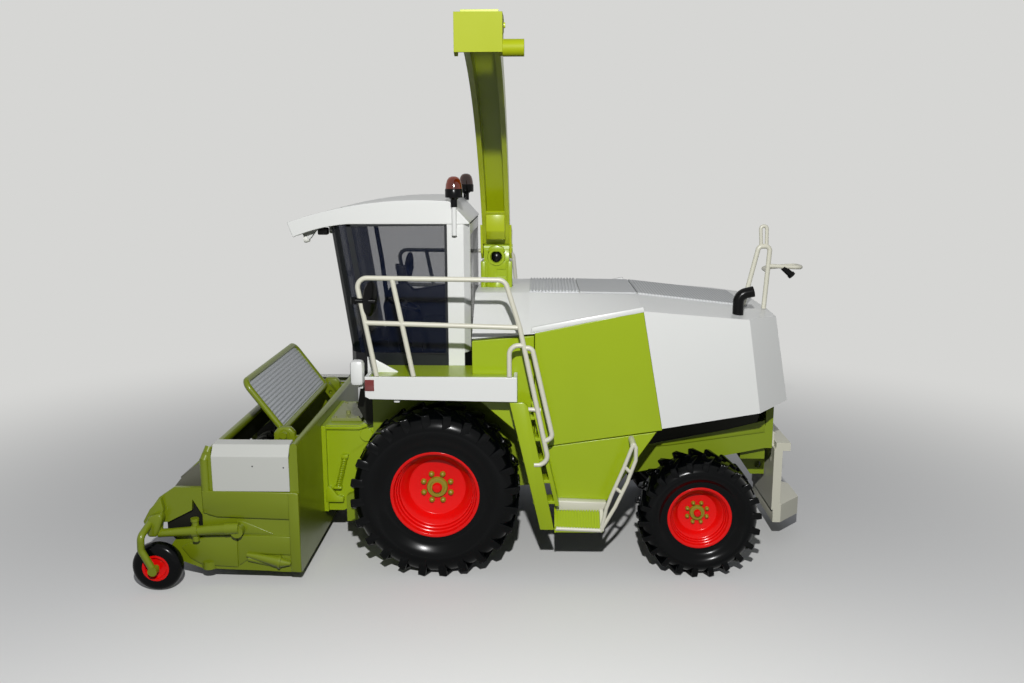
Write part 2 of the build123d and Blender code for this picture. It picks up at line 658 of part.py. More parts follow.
def railings():
    """Hand rails: the left one comes down beside the ladder and has two grab loops, the right one ends on deck."""
    y = platform_outside - 0.6
    foot_z = platform_top + 0.2
    with BuildPart() as rails:
        for _, sign in SIDES:
            side = sign * y
            route = [(17.9, side, foot_z), (23.7, side, 101.0), (-23.6, side, 100.4), (-28.3, side, 85.0)]
            if sign > 0:
                bent_bar(route + [(-37.9, side, 39.5), (-32.9, side, 39.7)], rail_radius, 3.0)
                bent_bar([(-24.9, side, foot_z), (-24.9, side, 79.4), (-29.6, side, 79.4)], rail_radius, 3.0)
                bent_bar([(-30.2, side, 78.6), (-32.2, side, 78.6), (-38.9, side, 49.0), (-36.0, side, 47.4)],
                         rail_radius, 1.8)
            else:
                bent_bar(route[:3] + [(-26.6, side, foot_z)], rail_radius, 3.0)
            bar((20.9, side, 86.6), (-27.6, side, 85.2), rail_radius)
            bar((12.1, side, 100.6), (6.0, side, foot_z), rail_radius)
    save("railings", rails.part)
    with BuildPart() as mirrors:
        for _, sign in SIDES:
            side = sign * y
            bar((23.8, side, 92.6), (17.0, side, 92.6), 1.2)
            side_plate(((15.3, 88.2), (17.3, 88.2), (18.6, 98.6), (16.6, 98.6)), side - 2.4, side + 2.4)
            bar((17.9, side, foot_z), (23.7, side, 101.0), rail_radius, Mode.SUBTRACT)
    save("mirrors", mirrors.part)


def boarding_ladder():
    """The left ladder: a wide front string, a narrow rear string and the treads between, and the lower step."""
    outer = platform_outside
    low = (-35.2, 17.2)
    with BuildPart() as ladder:
        side_plate(((-19.6, 60.6), (-26.4, 60.6), (-39.5, 17.2), low), outer - 1.4, outer - 0.2)
        side_plate(((-28.4, 60.6), (-29.8, 60.6), (-41.2, 25.0), (-39.8, 25.0)), body_half_width + 0.2, outer - 1.6)
        for step in range(5):
            z = 25.8 + 7.2 * step
            x = -35.6 + 0.3035 * (z - low[1])
            block((x - 7.4, x + 1.0), (body_half_width + 0.2, outer - 1.4), (z, z + 1.1))
    save("ladder", ladder.part)
    with BuildPart() as step:
        side_plate(((-39.7, 17.2), (-54.6, 16.2), (-56.6, 24.2), (-40.6, 24.2)), body_half_width - panel_step, outer)
        side_plate(((-41.2, 18.2), (-53.8, 17.4), (-55.0, 22.6), (-41.8, 22.6)), body_half_width + 0.6, outer + 1,
                   Mode.SUBTRACT)
        side_plate(((-63.2, 47.6), (-65.4, 46.4), (-57.2, 21.0), (-55.2, 21.0)), outer - 1.6, outer)
        side_plate(((-62.6, 44.6), (-63.9, 43.8), (-58.7, 27.4), (-57.6, 27.4)), outer - 2, outer + 1, Mode.SUBTRACT)
        bar((-63.4, body_half_width - panel_step, 45.4), (-63.4, outer - 1.6, 45.4), 0.9)
    save("lower_step", step.part)


def rear_ladder():
    """Ladder on the back: two posts with a web, a top grip, and a step block that tapers to the rear."""
    half = 16.0
    with BuildPart() as rear:
        block((-119.4, -118.6), (-half, half), (13.0, 36.0))
        for _, sign in SIDES:
            block((-121.6, -119.2), (sign * (half - 2.4), sign * half), (8.3, 36.0))
        block((-124.3, -119.2), (-half, half), (35.2, 38.2))
        level_plate(((-119.2, -half), (-122.0, -half), (rear_ladder_tail, -7.0), (rear_ladder_tail, 7.0),
                     (-122.0, half), (-119.2, half)), 8.3, 15.0)
        for _, sign in SIDES:
            block((-118.7, -116.2), (sign * 9.0, sign * 12.0), (38.0, 41.0))
            block((-119.3, -118.5), (sign * 9.0, sign * 12.0), (30.0, 41.0))
    save("rear_ladder", rear.part)


def rear_rail():
    y = 20.0
    with BuildPart() as rail:
        bent_bar([(-111.2, y, 87.4), (-112.4, y, 108.6), (-108.6, y, 108.6), (-104.2, y, 88.6)], rail_radius, 1.5)
        bent_bar([(-111.2, y, 108.5), (-111.0, y, 115.4), (-108.9, y, 115.4), (-109.4, y, 108.5)], 0.6, 0.95)
        bent_bar([(-112.0, y, 102.0), (-123.6, y, 101.4), (-123.6, y - 9.0, 101.2), (-112.2, y - 9.0, 100.3),
                  (-111.9, y, 100.2)], 0.7, 2.6)
    save("rear_rail", rail.part)
    with BuildPart() as lamp:
        bar((-119.4, y, 100.2), (-122.0, y, 96.4), 1.0)
    save("rear_lamp", lamp.part)


def exhaust(outer):
    y = body_half_width - 7.0
    with BuildPart() as pipe:
        bent_bar([(-100.0, y, 84.8), (-100.0, y, 93.8), (-104.8, y, 94.9)], 1.8, 3.0)
        add(outer, mode=Mode.SUBTRACT)
    save("exhaust", pipe.part)


# ---------------------------------------------------------------- spout
def spout_turret():
    x = spout_x
    with BuildPart() as turret:
        bar((x, 0, 90.8), (x, 0, 94.6), turret_radius)
        block((x - 4.5, x + 4.5), (-4.0, 4.5), (94.0, spout_hinge_z))
        bar((x - 4.5, spout_hinge_y, spout_hinge_z), (x + 4.5, spout_hinge_y, spout_hinge_z), 2.7)
        bar((x - spout_cheek_outer - 0.2, spout_hinge_y, spout_hinge_z),
            (x + spout_cheek_outer + 0.2, spout_hinge_y, spout_hinge_z), 1.4)
        for _, sign in SIDES:
            block((x + sign * 4.4, x + sign * spout_cheek_outer), (-4.0, 4.5), (94.0, 101.6))
        bar((x, 4.3, 102.6), (x, 5.3, 102.6), 1.7)
    save("spout_turret", turret.part)


def spout_section(depth_from, depth_to, x_from, x_to, angle_from, angle_to):
    """A strip of the boom between two depths below its back, bent along the boom's arc."""
    plane = Plane(origin=point(max(x_from, x_to), 0, 0), x_dir=(0, 1, 0), z_dir=(1, 0, 0))
    outer, inner = spout_outer_radius - depth_from, spout_outer_radius - depth_to

    def arc_point(radius, angle):
        return (spout_arc_y - radius * cos(radians(angle)), spout_arc_z + radius * sin(radians(angle)))

    middle = (angle_from + angle_to) / 2
    with BuildSketch(plane) as profile:
        with BuildLine():
            ThreePointArc(arc_point(outer, angle_from), arc_point(outer, middle), arc_point(outer, angle_to))
            Line(arc_point(outer, angle_to), arc_point(inner, angle_to))
            ThreePointArc(arc_point(inner, angle_to), arc_point(inner, middle), arc_point(inner, angle_from))
            Line(arc_point(inner, angle_from), arc_point(outer, angle_from))
        make_face()
    extrude(profile.sketch, amount=-abs(x_to - x_from))


def spout_boom():
    """The arched discharge spout: a channel open below, closed near its foot, with lugs for the lift pin."""
    x, half, sheet = spout_x, spout_half_width, spout_sheet
    foot, tip = spout_foot_angle, spout_tip_angle
    with BuildPart() as boom:
        spout_section(0, sheet, x - half, x + half, foot, tip)
        for sign in (1, -1):
            spout_section(0, spout_depth, x + sign * (half - spout_wall), x + sign * half, foot, tip)
        spout_section(spout_depth - sheet, spout_depth, x - half, x + half, foot, foot + spout_floor_angle)
        for sign in (1, -1):
            cheek = ((-1.8, 104.2), (-2.4, 112.2), (8.2, 115.0), (6.0, 104.8), (3.4, 102.6), (0.0, 102.6))
            cross_plate(cheek, x + sign * spout_cheek_inner, x + sign * spout_cheek_outer)
            bar((x + sign * (spout_cheek_inner - 0.5), spout_hinge_y, spout_hinge_z),
                (x + sign * (spout_cheek_outer + 0.5), spout_hinge_y, spout_hinge_z), 1.4 + running_clearance,
                Mode.SUBTRACT)
        bar((x - half - 1.6, flap_pin_y, flap_pin_z), (x + half + 1.6, flap_pin_y, flap_pin_z), flap_pin_radius)
    save("spout_boom", boom.part)


def spout_flap():
    """The deflector on the spout's tip: a face with two cheeks that straddle the boom."""
    x, gap = spout_x, spout_half_width + side_clearance
    y, z = flap_pin_y, flap_pin_z
    cheek = ((y - 1.8, z - 1.6), (y - 1.8, z + 1.6), (y + 1.4, flap_top_z), (flap_face_y, flap_top_z),
             (flap_face_y, flap_low_z), (y + 6.6, flap_low_z - 0.8), (y + 1.6, z - 2.2))
    with BuildPart() as flap:
        for sign in (1, -1):
            cross_plate(cheek, x + sign * gap, x + sign * (gap + 0.9))
        block((x - gap - 0.1, x + gap + 0.1), (flap_face_y - 0.9, flap_face_y), (flap_low_z, flap_top_z))
        block((x - gap - 0.1, x + gap + 0.1), (y + 6.2, flap_face_y), (flap_top_z - 0.9, flap_top_z))
        bar((x - gap - 1, y, z), (x + gap + 1, y, z), flap_pin_radius + running_clearance, Mode.SUBTRACT)
        bar((x - gap - 0.9, y + 6.6, z - 6.2), (x - gap - 6.2, y + 6.6, z - 6.2), 2.1)
    save("spout_flap", flap.part)


# ---------------------------------------------------------------- feeder and header
def feeder():
    outline = ((header_rear, 11.8), (36.5, 11.8), (9.5, 27.0), (9.5, 46.4), (18.0, 48.6), (30.0, 44.0),
               (header_rear, 44.0))
    with BuildPart() as housing:
        side_plate(outline, -feeder_half_width, feeder_half_width)
        block((header_rear - 18.0, header_rear + 1), (-14.0, 14.0), (14.5, 38.0), Mode.SUBTRACT)
        for _, sign in SIDES:
            bar((lift_pin_x, sign * (feeder_half_width - 0.2), lift_pin_z),
                (lift_pin_x, sign * frame_outside, lift_pin_z), lift_pin_radius)
            block((header_rear - 1.6, header_rear), (sign * feeder_half_width, sign * (feeder_half_width + 1.4)),
                  (11.8, 44.0))
            bar((27.3, sign * (feeder_half_width - 0.1), 40.6), (27.3, sign * (feeder_half_width + 0.8), 40.6), 2.4)
            bar((38.0, sign * (feeder_half_width + 0.5), 21.0), (35.2, sign * (feeder_half_width + 0.5), 32.4), 0.9)
    save("feeder_housing", housing.part)
    with BuildPart() as hatch:
        block((30.0, 41.2), (-11.5, 11.5), (44.0, 45.2))
        bar((36.0, 5.5, 45.2), (36.0, 5.5, 46.6), 0.8)
    save("feeder_hatch", hatch.part)


def end_plate_outline():
    """The header's end: box above, skid below, and the horn in front that carries the gauge wheel."""
    return ((header_rear, 3.9), (header_rear, 46.4), (46.0, 46.4), (46.0, 43.4), (71.6, 43.4), (71.6, 46.0),
            (74.2, 43.2), (75.0, 33.0), (84.4, 33.0),
            (89.4, 29.6), (93.4, 24.4), (90.0, 20.8), (87.0, 21.1), (79.0, 25.2), (78.6, 29.0), (75.6, 23.6),
            (75.6, 19.4), (84.0, 16.6), (86.7, 12.8), (83.0, 7.3), (76.6, 4.9))


def header_frame():
    inner = trough_half_width
    floor = ((45.0, 3.9), (45.0, 16.0), (48.0, 9.6), (54.0, 7.4), (62.0, 6.6), (68.0, 6.6), (68.0, 5.2),
             (50.0, 3.9))
    with BuildPart() as frame:
        block((header_rear, 45.0), (-header_outside, header_outside), (3.9, 46.4))
        side_plate(floor, -header_outside, header_outside)
        block((header_rear - 1, 45.1), (-14.0, 14.0), (14.5, 38.0), Mode.SUBTRACT)
        for _, sign in SIDES:
            side_plate(end_plate_outline(), sign * (header_outside - header_plate), sign * header_outside)
            side_plate(((45.0, 5.0), (45.0, 45.0), (72.0, 45.0), (74.0, 33.0), (75.0, 22.0), (70.0, 6.0)),
                       sign * inner, sign * (inner + 1.2))
            bracket = ((45.0, 38.0), (45.0, 46.0), (51.0, 46.4), (53.0, 44.0), (51.5, 41.4))
            side_plate(bracket, sign * (guard_half_width + 2.4), sign * (guard_half_width + 3.6))
            bar((guard_pin_x, sign * (guard_half_width - 0.4), guard_pin_z),
                (guard_pin_x, sign * (guard_half_width + 3.0), guard_pin_z), guard_pin_radius)
            for hub_x, hub_z, radius in ((auger_x, auger_z, 2.0), (reel_x, reel_z, 2.0)):
                bar((hub_x, sign * (inner - 3.0), hub_z), (hub_x, sign * (header_outside - 0.5), hub_z), radius)
        bar((44.6, -header_outside, 46.8), (44.6, header_outside, 46.8), 1.2)
        bar((73.2, -header_outside, 43.6), (73.2, header_outside, 43.6), 1.5)
        side_plate(((73.6, 42.6), (74.4, 43.4), (84.6, 33.6), (84.0, 32.8)), -inner, inner)
        for _, sign in SIDES:
            bar((50.6, sign * (header_outside - 0.2), 6.2), (61.0, sign * (header_outside + 0.4), 8.8), 1.0)
    save("header_frame", frame.part)


def end_covers():
    """Folded white covers over the drives at both ends of the header."""
    outline = ((52.0, 32.0), (52.8, 32.0), (52.8, 43.8), (50.2, 47.2), (46.0, 47.6), (46.0, 46.8), (50.0, 46.4),
               (52.0, 43.6))
    with BuildPart() as covers:
        for _, sign in SIDES:
            cross_plate([(sign * y, z) for y, z in outline], 46.2, 71.4)
    save("end_covers", covers.part)


def flight(sign, y_from, y_to):
    """One hand of the auger's flight: a thin blade on edge, wound round the tube."""
    with BuildLine() as winding:
        Helix(pitch=flight_pitch, height=y_to - y_from, radius=auger_tube - 0.6,
              center=point(auger_x, sign * y_from, auger_z), direction=(0, sign, 0), lefthand=sign > 0)
    start = winding.line @ 0
    outwards = start - point(auger_x, sign * y_from, auger_z)
    with BuildSketch(Plane(origin=start, x_dir=outwards, z_dir=winding.line % 0)) as blade:
        Rectangle(auger_radius - auger_tube + 0.6, flight_thickness, align=(Align.MIN, Align.CENTER))
    sweep(blade.sketch, path=winding.line, is_frenet=True)


def header_rotors():
    bore = 2.0 + running_clearance
    length = trough_half_width - 0.6
    with BuildPart() as auger:
        bar((auger_x, -length, auger_z), (auger_x, length, auger_z), auger_tube)
        for _, sign in SIDES:
            flight(sign, 4.0, length - 3.0)
            bar((auger_x, sign * (trough_half_width - 3.2), auger_z), (auger_x, sign * (length + 1), auger_z), bore,
                Mode.SUBTRACT)
    save("intake_auger", auger.part)
    with BuildPart() as reel:
        bar((reel_x, -length, reel_z), (reel_x, length, reel_z), reel_drum)
        for row in range(5):
            angle = radians(18 + 72 * row)
            for tooth in range(15):
                y = -42.0 + 6.0 * tooth
                bar((reel_x, y, reel_z), (reel_x + reel_tip * cos(angle), y, reel_z + reel_tip * sin(angle)), 0.45)
        for _, sign in SIDES:
            bar((reel_x, sign * (trough_half_width - 3.2), reel_z), (reel_x, sign * (length + 1), reel_z), bore,
                Mode.SUBTRACT)
    save("pickup_reel", reel.part)


def guard_point(reach, lift=0.0):
    """(x, z) of a point on the wind guard: reach along it from the pin, lift square to it."""
    angle = radians(guard_angle)
    return (guard_pin_x + reach * cos(angle) - lift * sin(angle), guard_pin_z + reach * sin(angle) + lift * cos(angle))


def wind_guard():
    """The tilted guard above the pick-up: a bent tube frame on two hinge lugs, and a ribbed sheet in it."""
    near, far = 3.6, guard_reach - guard_tube
    half = guard_half_width - guard_tube
    with BuildPart() as frame:
        corners = [(near, half), (far, half), (far, -half), (near, -half)]
        route = [(guard_point(reach)[0], y, guard_point(reach)[1]) for reach, y in corners]
        bent_bar(route, guard_tube, 3.0)
        bar(route[3], route[0], guard_tube)
        for _, sign in SIDES:
            lug = [guard_point(reach, lift) for reach, lift in ((-2.2, -1.6), (-2.2, 1.6), (3.6, 1.6), (3.6, -1.6))]
            side_plate(lug, sign * (guard_half_width - 1.9), sign * (guard_half_width + 1.9))
            bar((guard_pin_x, sign * (guard_half_width - 2.5), guard_pin_z),
                (guard_pin_x, sign * (guard_half_width + 2.5), guard_pin_z), guard_pin_radius + running_clearance,
                Mode.SUBTRACT)
    save("guard_frame", frame.part)
    with BuildPart() as sheet:
        outline = [guard_point(reach, lift) for reach, lift in
                   ((near + 0.6, -0.45), (near + 0.6, 0.45), (far - 0.6, 0.45), (far - 0.6, -0.45))]
        side_plate(outline, -(half - 0.6), half - 0.6)
        add(frame.part, mode=Mode.SUBTRACT)
    save("guard_sheet", sheet.part)


def gauge_wheels():
    """Gauge wheels beside the header, each on a bent tube from the end plate's horn."""
    axle_radius = 0.9
    half = gauge_wheel_width / 2
    with BuildPart() as arms:
        for _, sign in SIDES:
            plate, tube_y = sign * header_outside, sign * fork_y
            bent_bar([(91.0, plate, 23.6), (92.6, tube_y, 19.6), (92.8, tube_y, 15.0),
                      (gauge_wheel_x, tube_y, gauge_wheel_radius)], gauge_tube, 2.2)
            bar((gauge_wheel_x, tube_y, gauge_wheel_radius),
                (gauge_wheel_x, sign * (gauge_wheel_y - half - 0.6), gauge_wheel_radius), axle_radius)
            bar((gauge_wheel_x, sign * (fork_y - gauge_tube), gauge_wheel_radius),
                (gauge_wheel_x, sign * (fork_y + gauge_tube), gauge_wheel_radius), 1.5)
            bar((89.8, sign * 54.0, 18.2), (63.6, sign * 54.0, 19.0), 1.3)
            bar((77.4, sign * 54.0, 15.4), (77.4, sign * 54.0, 23.0), 1.1)
            bar((63.6, plate, 19.0), (63.6, sign * 55.4, 19.0), 2.0)
            bar((89.6, plate, 22.6), (89.6, sign * 54.0, 18.2), 1.2)
            block((55.0, 100.0), (plate - sign * 4.0, plate), (0, 40.0), Mode.SUBTRACT)
    save("gauge_arms", arms.part)
    bore = axle_radius + running_clearance
    disc_radius = 4.4
    for side, sign in SIDES:
        centre = (sign * gauge_wheel_y, gauge_wheel_radius)
        y = sign * gauge_wheel_y
        rings = ((y - half, 6.4), (y - half + 1.4, gauge_wheel_radius), (y + half - 1.4, gauge_wheel_radius),
                 (y + half, 6.4))
        with BuildPart() as tyre_part:
            facets((gauge_wheel_x, gauge_wheel_radius), gauge_facets, rings)
            bar((gauge_wheel_x, y - half, gauge_wheel_radius), (gauge_wheel_x, y + half, gauge_wheel_radius),
                disc_radius, Mode.SUBTRACT)
        save(f"gauge_{side}_tyre", tyre_part.part)
        dish = ((-half, bore), (-half, disc_radius), (half, disc_radius), (half, 3.6), (half - 0.8, 3.2),
                (half - 0.8, bore))
        with BuildPart() as disc:
            turned(cross_plane(gauge_wheel_x), [(sign * d, r) for d, r in dish], centre=centre)
        save(f"gauge_{side}_disc", disc.part)


# ---------------------------------------------------------------- the whole machine
road_wheels()
chassis()
front_axle()
rear_axle()
knuckles()
body_form = body_solid()
body(body_form)
body_panels()
chassis_bulkheads()
top_panels()
cab()
cab_interior()
beacons()
platforms()
railings()
boarding_ladder()
rear_ladder()
rear_rail()
exhaust(body_form)
spout_turret()
spout_boom()
spout_flap()
feeder()
header_frame()
end_covers()
header_rotors()
wind_guard()
gauge_wheels()
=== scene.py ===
# %% [markdown]
# # Scale model of a forage harvester
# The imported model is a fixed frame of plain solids. This lesson dresses it: each visible piece gets the
# finish and the small forms of the real die-cast model, and rides on the body that carries it.

import json
import math
from collections import namedtuple

import bmesh
import bpy
from mathutils import Matrix, Vector

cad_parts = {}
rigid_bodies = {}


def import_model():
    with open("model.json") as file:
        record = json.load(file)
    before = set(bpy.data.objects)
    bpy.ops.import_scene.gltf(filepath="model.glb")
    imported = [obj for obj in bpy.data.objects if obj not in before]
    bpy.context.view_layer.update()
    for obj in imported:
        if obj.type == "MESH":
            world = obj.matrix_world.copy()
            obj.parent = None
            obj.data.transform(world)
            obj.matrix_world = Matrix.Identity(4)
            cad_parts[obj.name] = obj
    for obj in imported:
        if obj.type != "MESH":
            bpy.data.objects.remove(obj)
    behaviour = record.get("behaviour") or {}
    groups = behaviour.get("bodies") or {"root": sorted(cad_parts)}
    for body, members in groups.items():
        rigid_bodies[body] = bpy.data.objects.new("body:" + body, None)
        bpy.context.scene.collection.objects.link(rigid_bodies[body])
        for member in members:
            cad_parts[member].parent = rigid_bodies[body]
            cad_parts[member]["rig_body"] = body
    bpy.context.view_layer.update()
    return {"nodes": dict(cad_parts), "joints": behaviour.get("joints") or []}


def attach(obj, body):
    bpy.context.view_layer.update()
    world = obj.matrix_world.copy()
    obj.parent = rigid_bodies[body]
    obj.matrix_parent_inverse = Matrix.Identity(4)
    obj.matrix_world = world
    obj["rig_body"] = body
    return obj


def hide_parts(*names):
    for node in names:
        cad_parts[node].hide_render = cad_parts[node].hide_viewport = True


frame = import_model()
MM = 0.001
joint_places = {joint["name"]: Vector(joint["pos_m"]) for joint in frame["joints"]}

# %% [markdown]
# ## The machine's own measures
# Sizes below are in millimetres from the ground under the middle of the front axle, as a maker would
# measure the model: x forward, y to its left, z up. The frame's wheel joints say where that point is.

# %% From the machine's measures to the frame
left_hub = joint_places["front_wheel_left_spin"]
right_hub = joint_places["front_wheel_right_spin"]
machine_zero = Vector((left_hub.x, (left_hub.y + right_hub.y) / 2, 0))
SIDES = (("left", 1), ("right", -1))


def at(x, y, z):
    """A place on the machine, in the frame's metres."""
    return machine_zero + Vector((x, y, z)) * MM


print("machine zero, mm:", tuple(round(value / MM, 2) for value in machine_zero))

# %% [markdown]
# ## Camera
# A close look through a fairly short lens, from the machine's left and a little above the cab's roof. The
# camera comes first, because every finish is judged from it.


# %% Camera
def new_object(name, data):
    """An object with its data, in the scene."""
    made = bpy.data.objects.new(name, data)
    bpy.context.scene.collection.objects.link(made)
    return made


ROLL = -0.002  # the camera leans by this angle, in radians
camera = new_object("camera", bpy.data.cameras.new("camera"))
camera.data.lens, camera.data.sensor_width = 32.98, 36.0
camera.data.clip_start, camera.data.clip_end = 0.005, 20.0
camera.location = at(-33.99, 339.6, 138.33)
looking = Vector((0.02747, -0.98085, -0.19279))
camera.rotation_euler = looking.to_track_quat("-Z", "Y").to_euler()
camera.rotation_euler.rotate_axis("Z", ROLL)
bpy.context.scene.camera = camera
bpy.context.scene.view_settings.view_transform = "Standard"
print("camera at, m:", tuple(camera.location))

# %% [markdown]
# ## Colours and shader nodes
# Paint colours are written as they look on a screen (sRGB). Blender mixes light in linear values, so one
# function turns them. The others add a node with its settings and links, feed the surface shader, and make
# what most finishes need: soft noise, a colour between two others, and a fine relief that only light shows.


# %% Colour and node helpers
def linear(hex_colour):
    """Linear RGBA of an sRGB colour such as '9BB02B'."""
    values = [int(hex_colour[i:i + 2], 16) / 255 for i in (0, 2, 4)]
    return tuple(v / 12.92 if v <= 0.04045 else ((v + 0.055) / 1.055) ** 2.4 for v in values) + (1.0,)


def feed(tree, made, inputs):
    """Sets a node's sockets by name; a value that is a socket itself is linked."""
    for name, value in inputs.items():
        if isinstance(value, bpy.types.NodeSocket):
            tree.links.new(value, made.inputs[name])
        else:
            made.inputs[name].default_value = value


def node(tree, kind, inputs, **settings):
    """Adds a node with its settings and its inputs."""
    made = tree.nodes.new("ShaderNode" + kind)
    for name, value in settings.items():
        setattr(made, name, value)
    feed(tree, made, inputs)
    return made


def new_finish(name):
    """An empty material and its tree."""
    finish = bpy.data.materials.new(name)
    finish.use_nodes = True
    return finish, finish.node_tree


def dress(tree, **sockets):
    """Feeds the surface shader, with _ for each space in a socket's name."""
    inputs = {name.replace("_", " "): value for name, value in sockets.items()}
    feed(tree, tree.nodes["Principled BSDF"], inputs)


def per_mm(size):
    """A texture scale at which one period is size millimetres."""
    return 1 / (size * MM)


def maths(tree, operation, first, second):
    return node(tree, "Math", {0: first, 1: second}, operation=operation).outputs[0]


def object_place(tree):
    return node(tree, "TexCoord", {}).outputs["Object"]


def noise(tree, size, detail=2.0):
    """Soft noise in object coordinates, its clouds about size millimetres wide."""
    inputs = {"Vector": object_place(tree), "Scale": per_mm(size), "Detail": detail}
    return node(tree, "TexNoise", inputs).outputs["Fac"]


def bump(tree, height, strength, depth=0.05, **settings):
    """A normal that lets a height dent the surface by up to depth millimetres."""
    inputs = {"Height": height, "Strength": strength, "Distance": depth * MM}
    return node(tree, "Bump", inputs, **settings).outputs["Normal"]


def blend(tree, share, first, second):
    """A colour between two others; each is an sRGB colour, linear values or a socket."""
    ends = [linear(colour) if isinstance(colour, str) else colour for colour in (first, second)]
    inputs = {"Factor": share, "A": ends[0], "B": ends[1]}
    return node(tree, "Mix", inputs, data_type="RGBA").outputs["Result"]


def drifting(tree, share, colour, drift):
    """A colour that darkens by the part drift as share goes from 0 to 1."""
    light = linear(colour)
    return blend(tree, share, light, [value * (1 - drift) for value in light[:3]] + [1.0])


# %% [markdown]
# ## Sprayed enamel
# The zinc castings are sprayed with enamel. Thick model paint flows a little before it sets: it looks
# glossy, with a faint orange peel of about half a millimetre, and its colour and gloss drift slightly.


# %% Enamels
def sprayed_enamel(name, colour, roughness=0.3, drift=0.07, peel=0.05, shine=0.36, coat=0.1):
    """A paint with soft clouds of tone and gloss under a thin clear coat."""
    finish, tree = new_finish(name)
    clouds = noise(tree, 14, detail=3.0)
    limits = {"To Min": roughness - 0.05, "To Max": roughness + 0.07}
    gloss = node(tree, "MapRange", {"Value": clouds, **limits}).outputs["Result"]
    dress(tree, Base_Color=drifting(tree, clouds, colour, drift), Roughness=gloss,
          Normal=bump(tree, noise(tree, 0.55), peel), Specular_IOR_Level=shine, Coat_Weight=coat,
          Coat_Roughness=0.12)
    return finish


lime_enamel = sprayed_enamel("lime_enamel", "98AE10")
# the header's lime is the same paint as the body, darkened as painted shade
header_enamel = sprayed_enamel("header_enamel", "728010")
# the boom's lime is the same paint, lightened as painted light from the near flash
boom_enamel = sprayed_enamel("boom_enamel", "A6B410")
# the flap's lime is the same paint, darkened as painted shade against the near flash
flap_enamel = sprayed_enamel("flap_enamel", "8C960F", roughness=0.5, shine=0.12, coat=0.0)
hatch_enamel = sprayed_enamel("hatch_enamel", "848A52", roughness=0.4)
brass_enamel = sprayed_enamel("brass_green_enamel", "8C8420", roughness=0.28, peel=0.02)
chassis_enamel = sprayed_enamel("chassis_enamel", "7F9218", roughness=0.42)
print("enamels made")

# %% [markdown]
# ## Moulded plastics
# Hood, cab and rails are injection-moulded ABS and polystyrene: an even colour through the part, softly
# glossy, with a very fine grain from the mould's spark-eroded faces. The tyres are soft vinyl, moulded
# black, with a satin sidewall that catches one broad highlight.


# %% Plastics
def moulded_plastic(name, colour, roughness=0.35, grain=0.3, depth=0.04, drift=0.03, **extra):
    """A plastic with a fine grain; extra names further sockets."""
    finish, tree = new_finish(name)
    dress(tree, Base_Color=drifting(tree, noise(tree, 22), colour, drift), Roughness=roughness, IOR=1.53,
          Normal=bump(tree, noise(tree, grain), depth), **extra)
    return finish


white_abs = moulded_plastic("white_abs", "DEDFDC", roughness=0.32)
# the end covers are white like the hood, greyed as painted shade
cover_abs = moulded_plastic("cover_abs", "C2C3BD", roughness=0.32)
cream_abs = moulded_plastic("cream_abs", "CFCDBC", roughness=0.38)
red_polystyrene = moulded_plastic("red_polystyrene", "E00C0A", roughness=0.2, Specular_IOR_Level=0.22)
black_abs = moulded_plastic("black_abs", "030304", roughness=0.24, Specular_IOR_Level=0.16)
grey_abs = moulded_plastic("grey_abs", "BDBFBF", roughness=0.5, depth=0.12)
grille_grey = moulded_plastic("grille_grey", "C8CACB", roughness=0.45)
sheet_brown = moulded_plastic("sheet_brown", "57574A", roughness=0.45)
guard_grey = moulded_plastic("guard_grey", "B2B6BA", roughness=0.45)
smoke_black = moulded_plastic("interior_black", "0B0C0E", roughness=0.5, Specular_IOR_Level=0.2)
# black for the pick-up reel and its bands, and for the plates of painted shade in the trough and the
# frame's gaps
trough_black = moulded_plastic("trough_black", "14150C", roughness=0.6, Specular_IOR_Level=0.2)
seal_rubber = moulded_plastic("seal_rubber", "0E1216", roughness=0.4, Specular_IOR_Level=0.3)
white_lens = moulded_plastic("white_lens", "E9E9E2", roughness=0.15, Coat_Weight=0.5)
red_lens = moulded_plastic("red_lens", "6E0A08", roughness=0.12, Coat_Weight=0.6)
tyre_vinyl = moulded_plastic("tyre_vinyl", "030405", roughness=0.2, grain=0.5, depth=0.03,
                             Specular_IOR_Level=0.12)
print("plastics made")

# %% [markdown]
# ## Pressed mesh
# The rear slope of the hood is a fine square mesh, pressed into grey plastic. Two crossed waves make its
# holes: their product dents the face and darkens the colour there, as painted shade in the holes.

# %% Mesh
MESH_PITCH = 1.1
WAVE_PERIOD = math.pi / 10  # the length of one band of Blender's wave texture at a scale of 1
mesh_grey, tree = new_finish("mesh_grey")
wave_inputs = {"Vector": object_place(tree), "Scale": per_mm(MESH_PITCH) * WAVE_PERIOD}
waves = [node(tree, "TexWave", wave_inputs, bands_direction=direction).outputs["Fac"]
         for direction in ("X", "Y")]
holes = maths(tree, "MULTIPLY", *waves)
# the darker grey in the holes is painted shade
dress(tree, Base_Color=blend(tree, holes, "C4C6C6", "8A8C8C"), Roughness=0.55,
      Normal=bump(tree, holes, 0.3, depth=0.2, invert=True))

# %% [markdown]
# ## Window plastic and amber
# The panes are one clear smoke-blue moulding, thin enough to look through; the windscreen is almost black.
# Both are drawn as a dark tint that lets some light pass, with a sharp gloss on its face. The beacons are
# dark amber styrene: almost black where one looks straight in, orange at the rim, where light gets through.


# %% Smoked windows and amber domes
def smoked_plastic(name, light, dark, alpha, shine):
    """A clear plastic; alpha says how much of what is behind it stays hidden."""
    finish, tree = new_finish(name)
    dress(tree, Base_Color=blend(tree, noise(tree, 30), light, dark), Alpha=alpha, Roughness=0.06, IOR=1.49,
          Specular_IOR_Level=shine)
    return finish


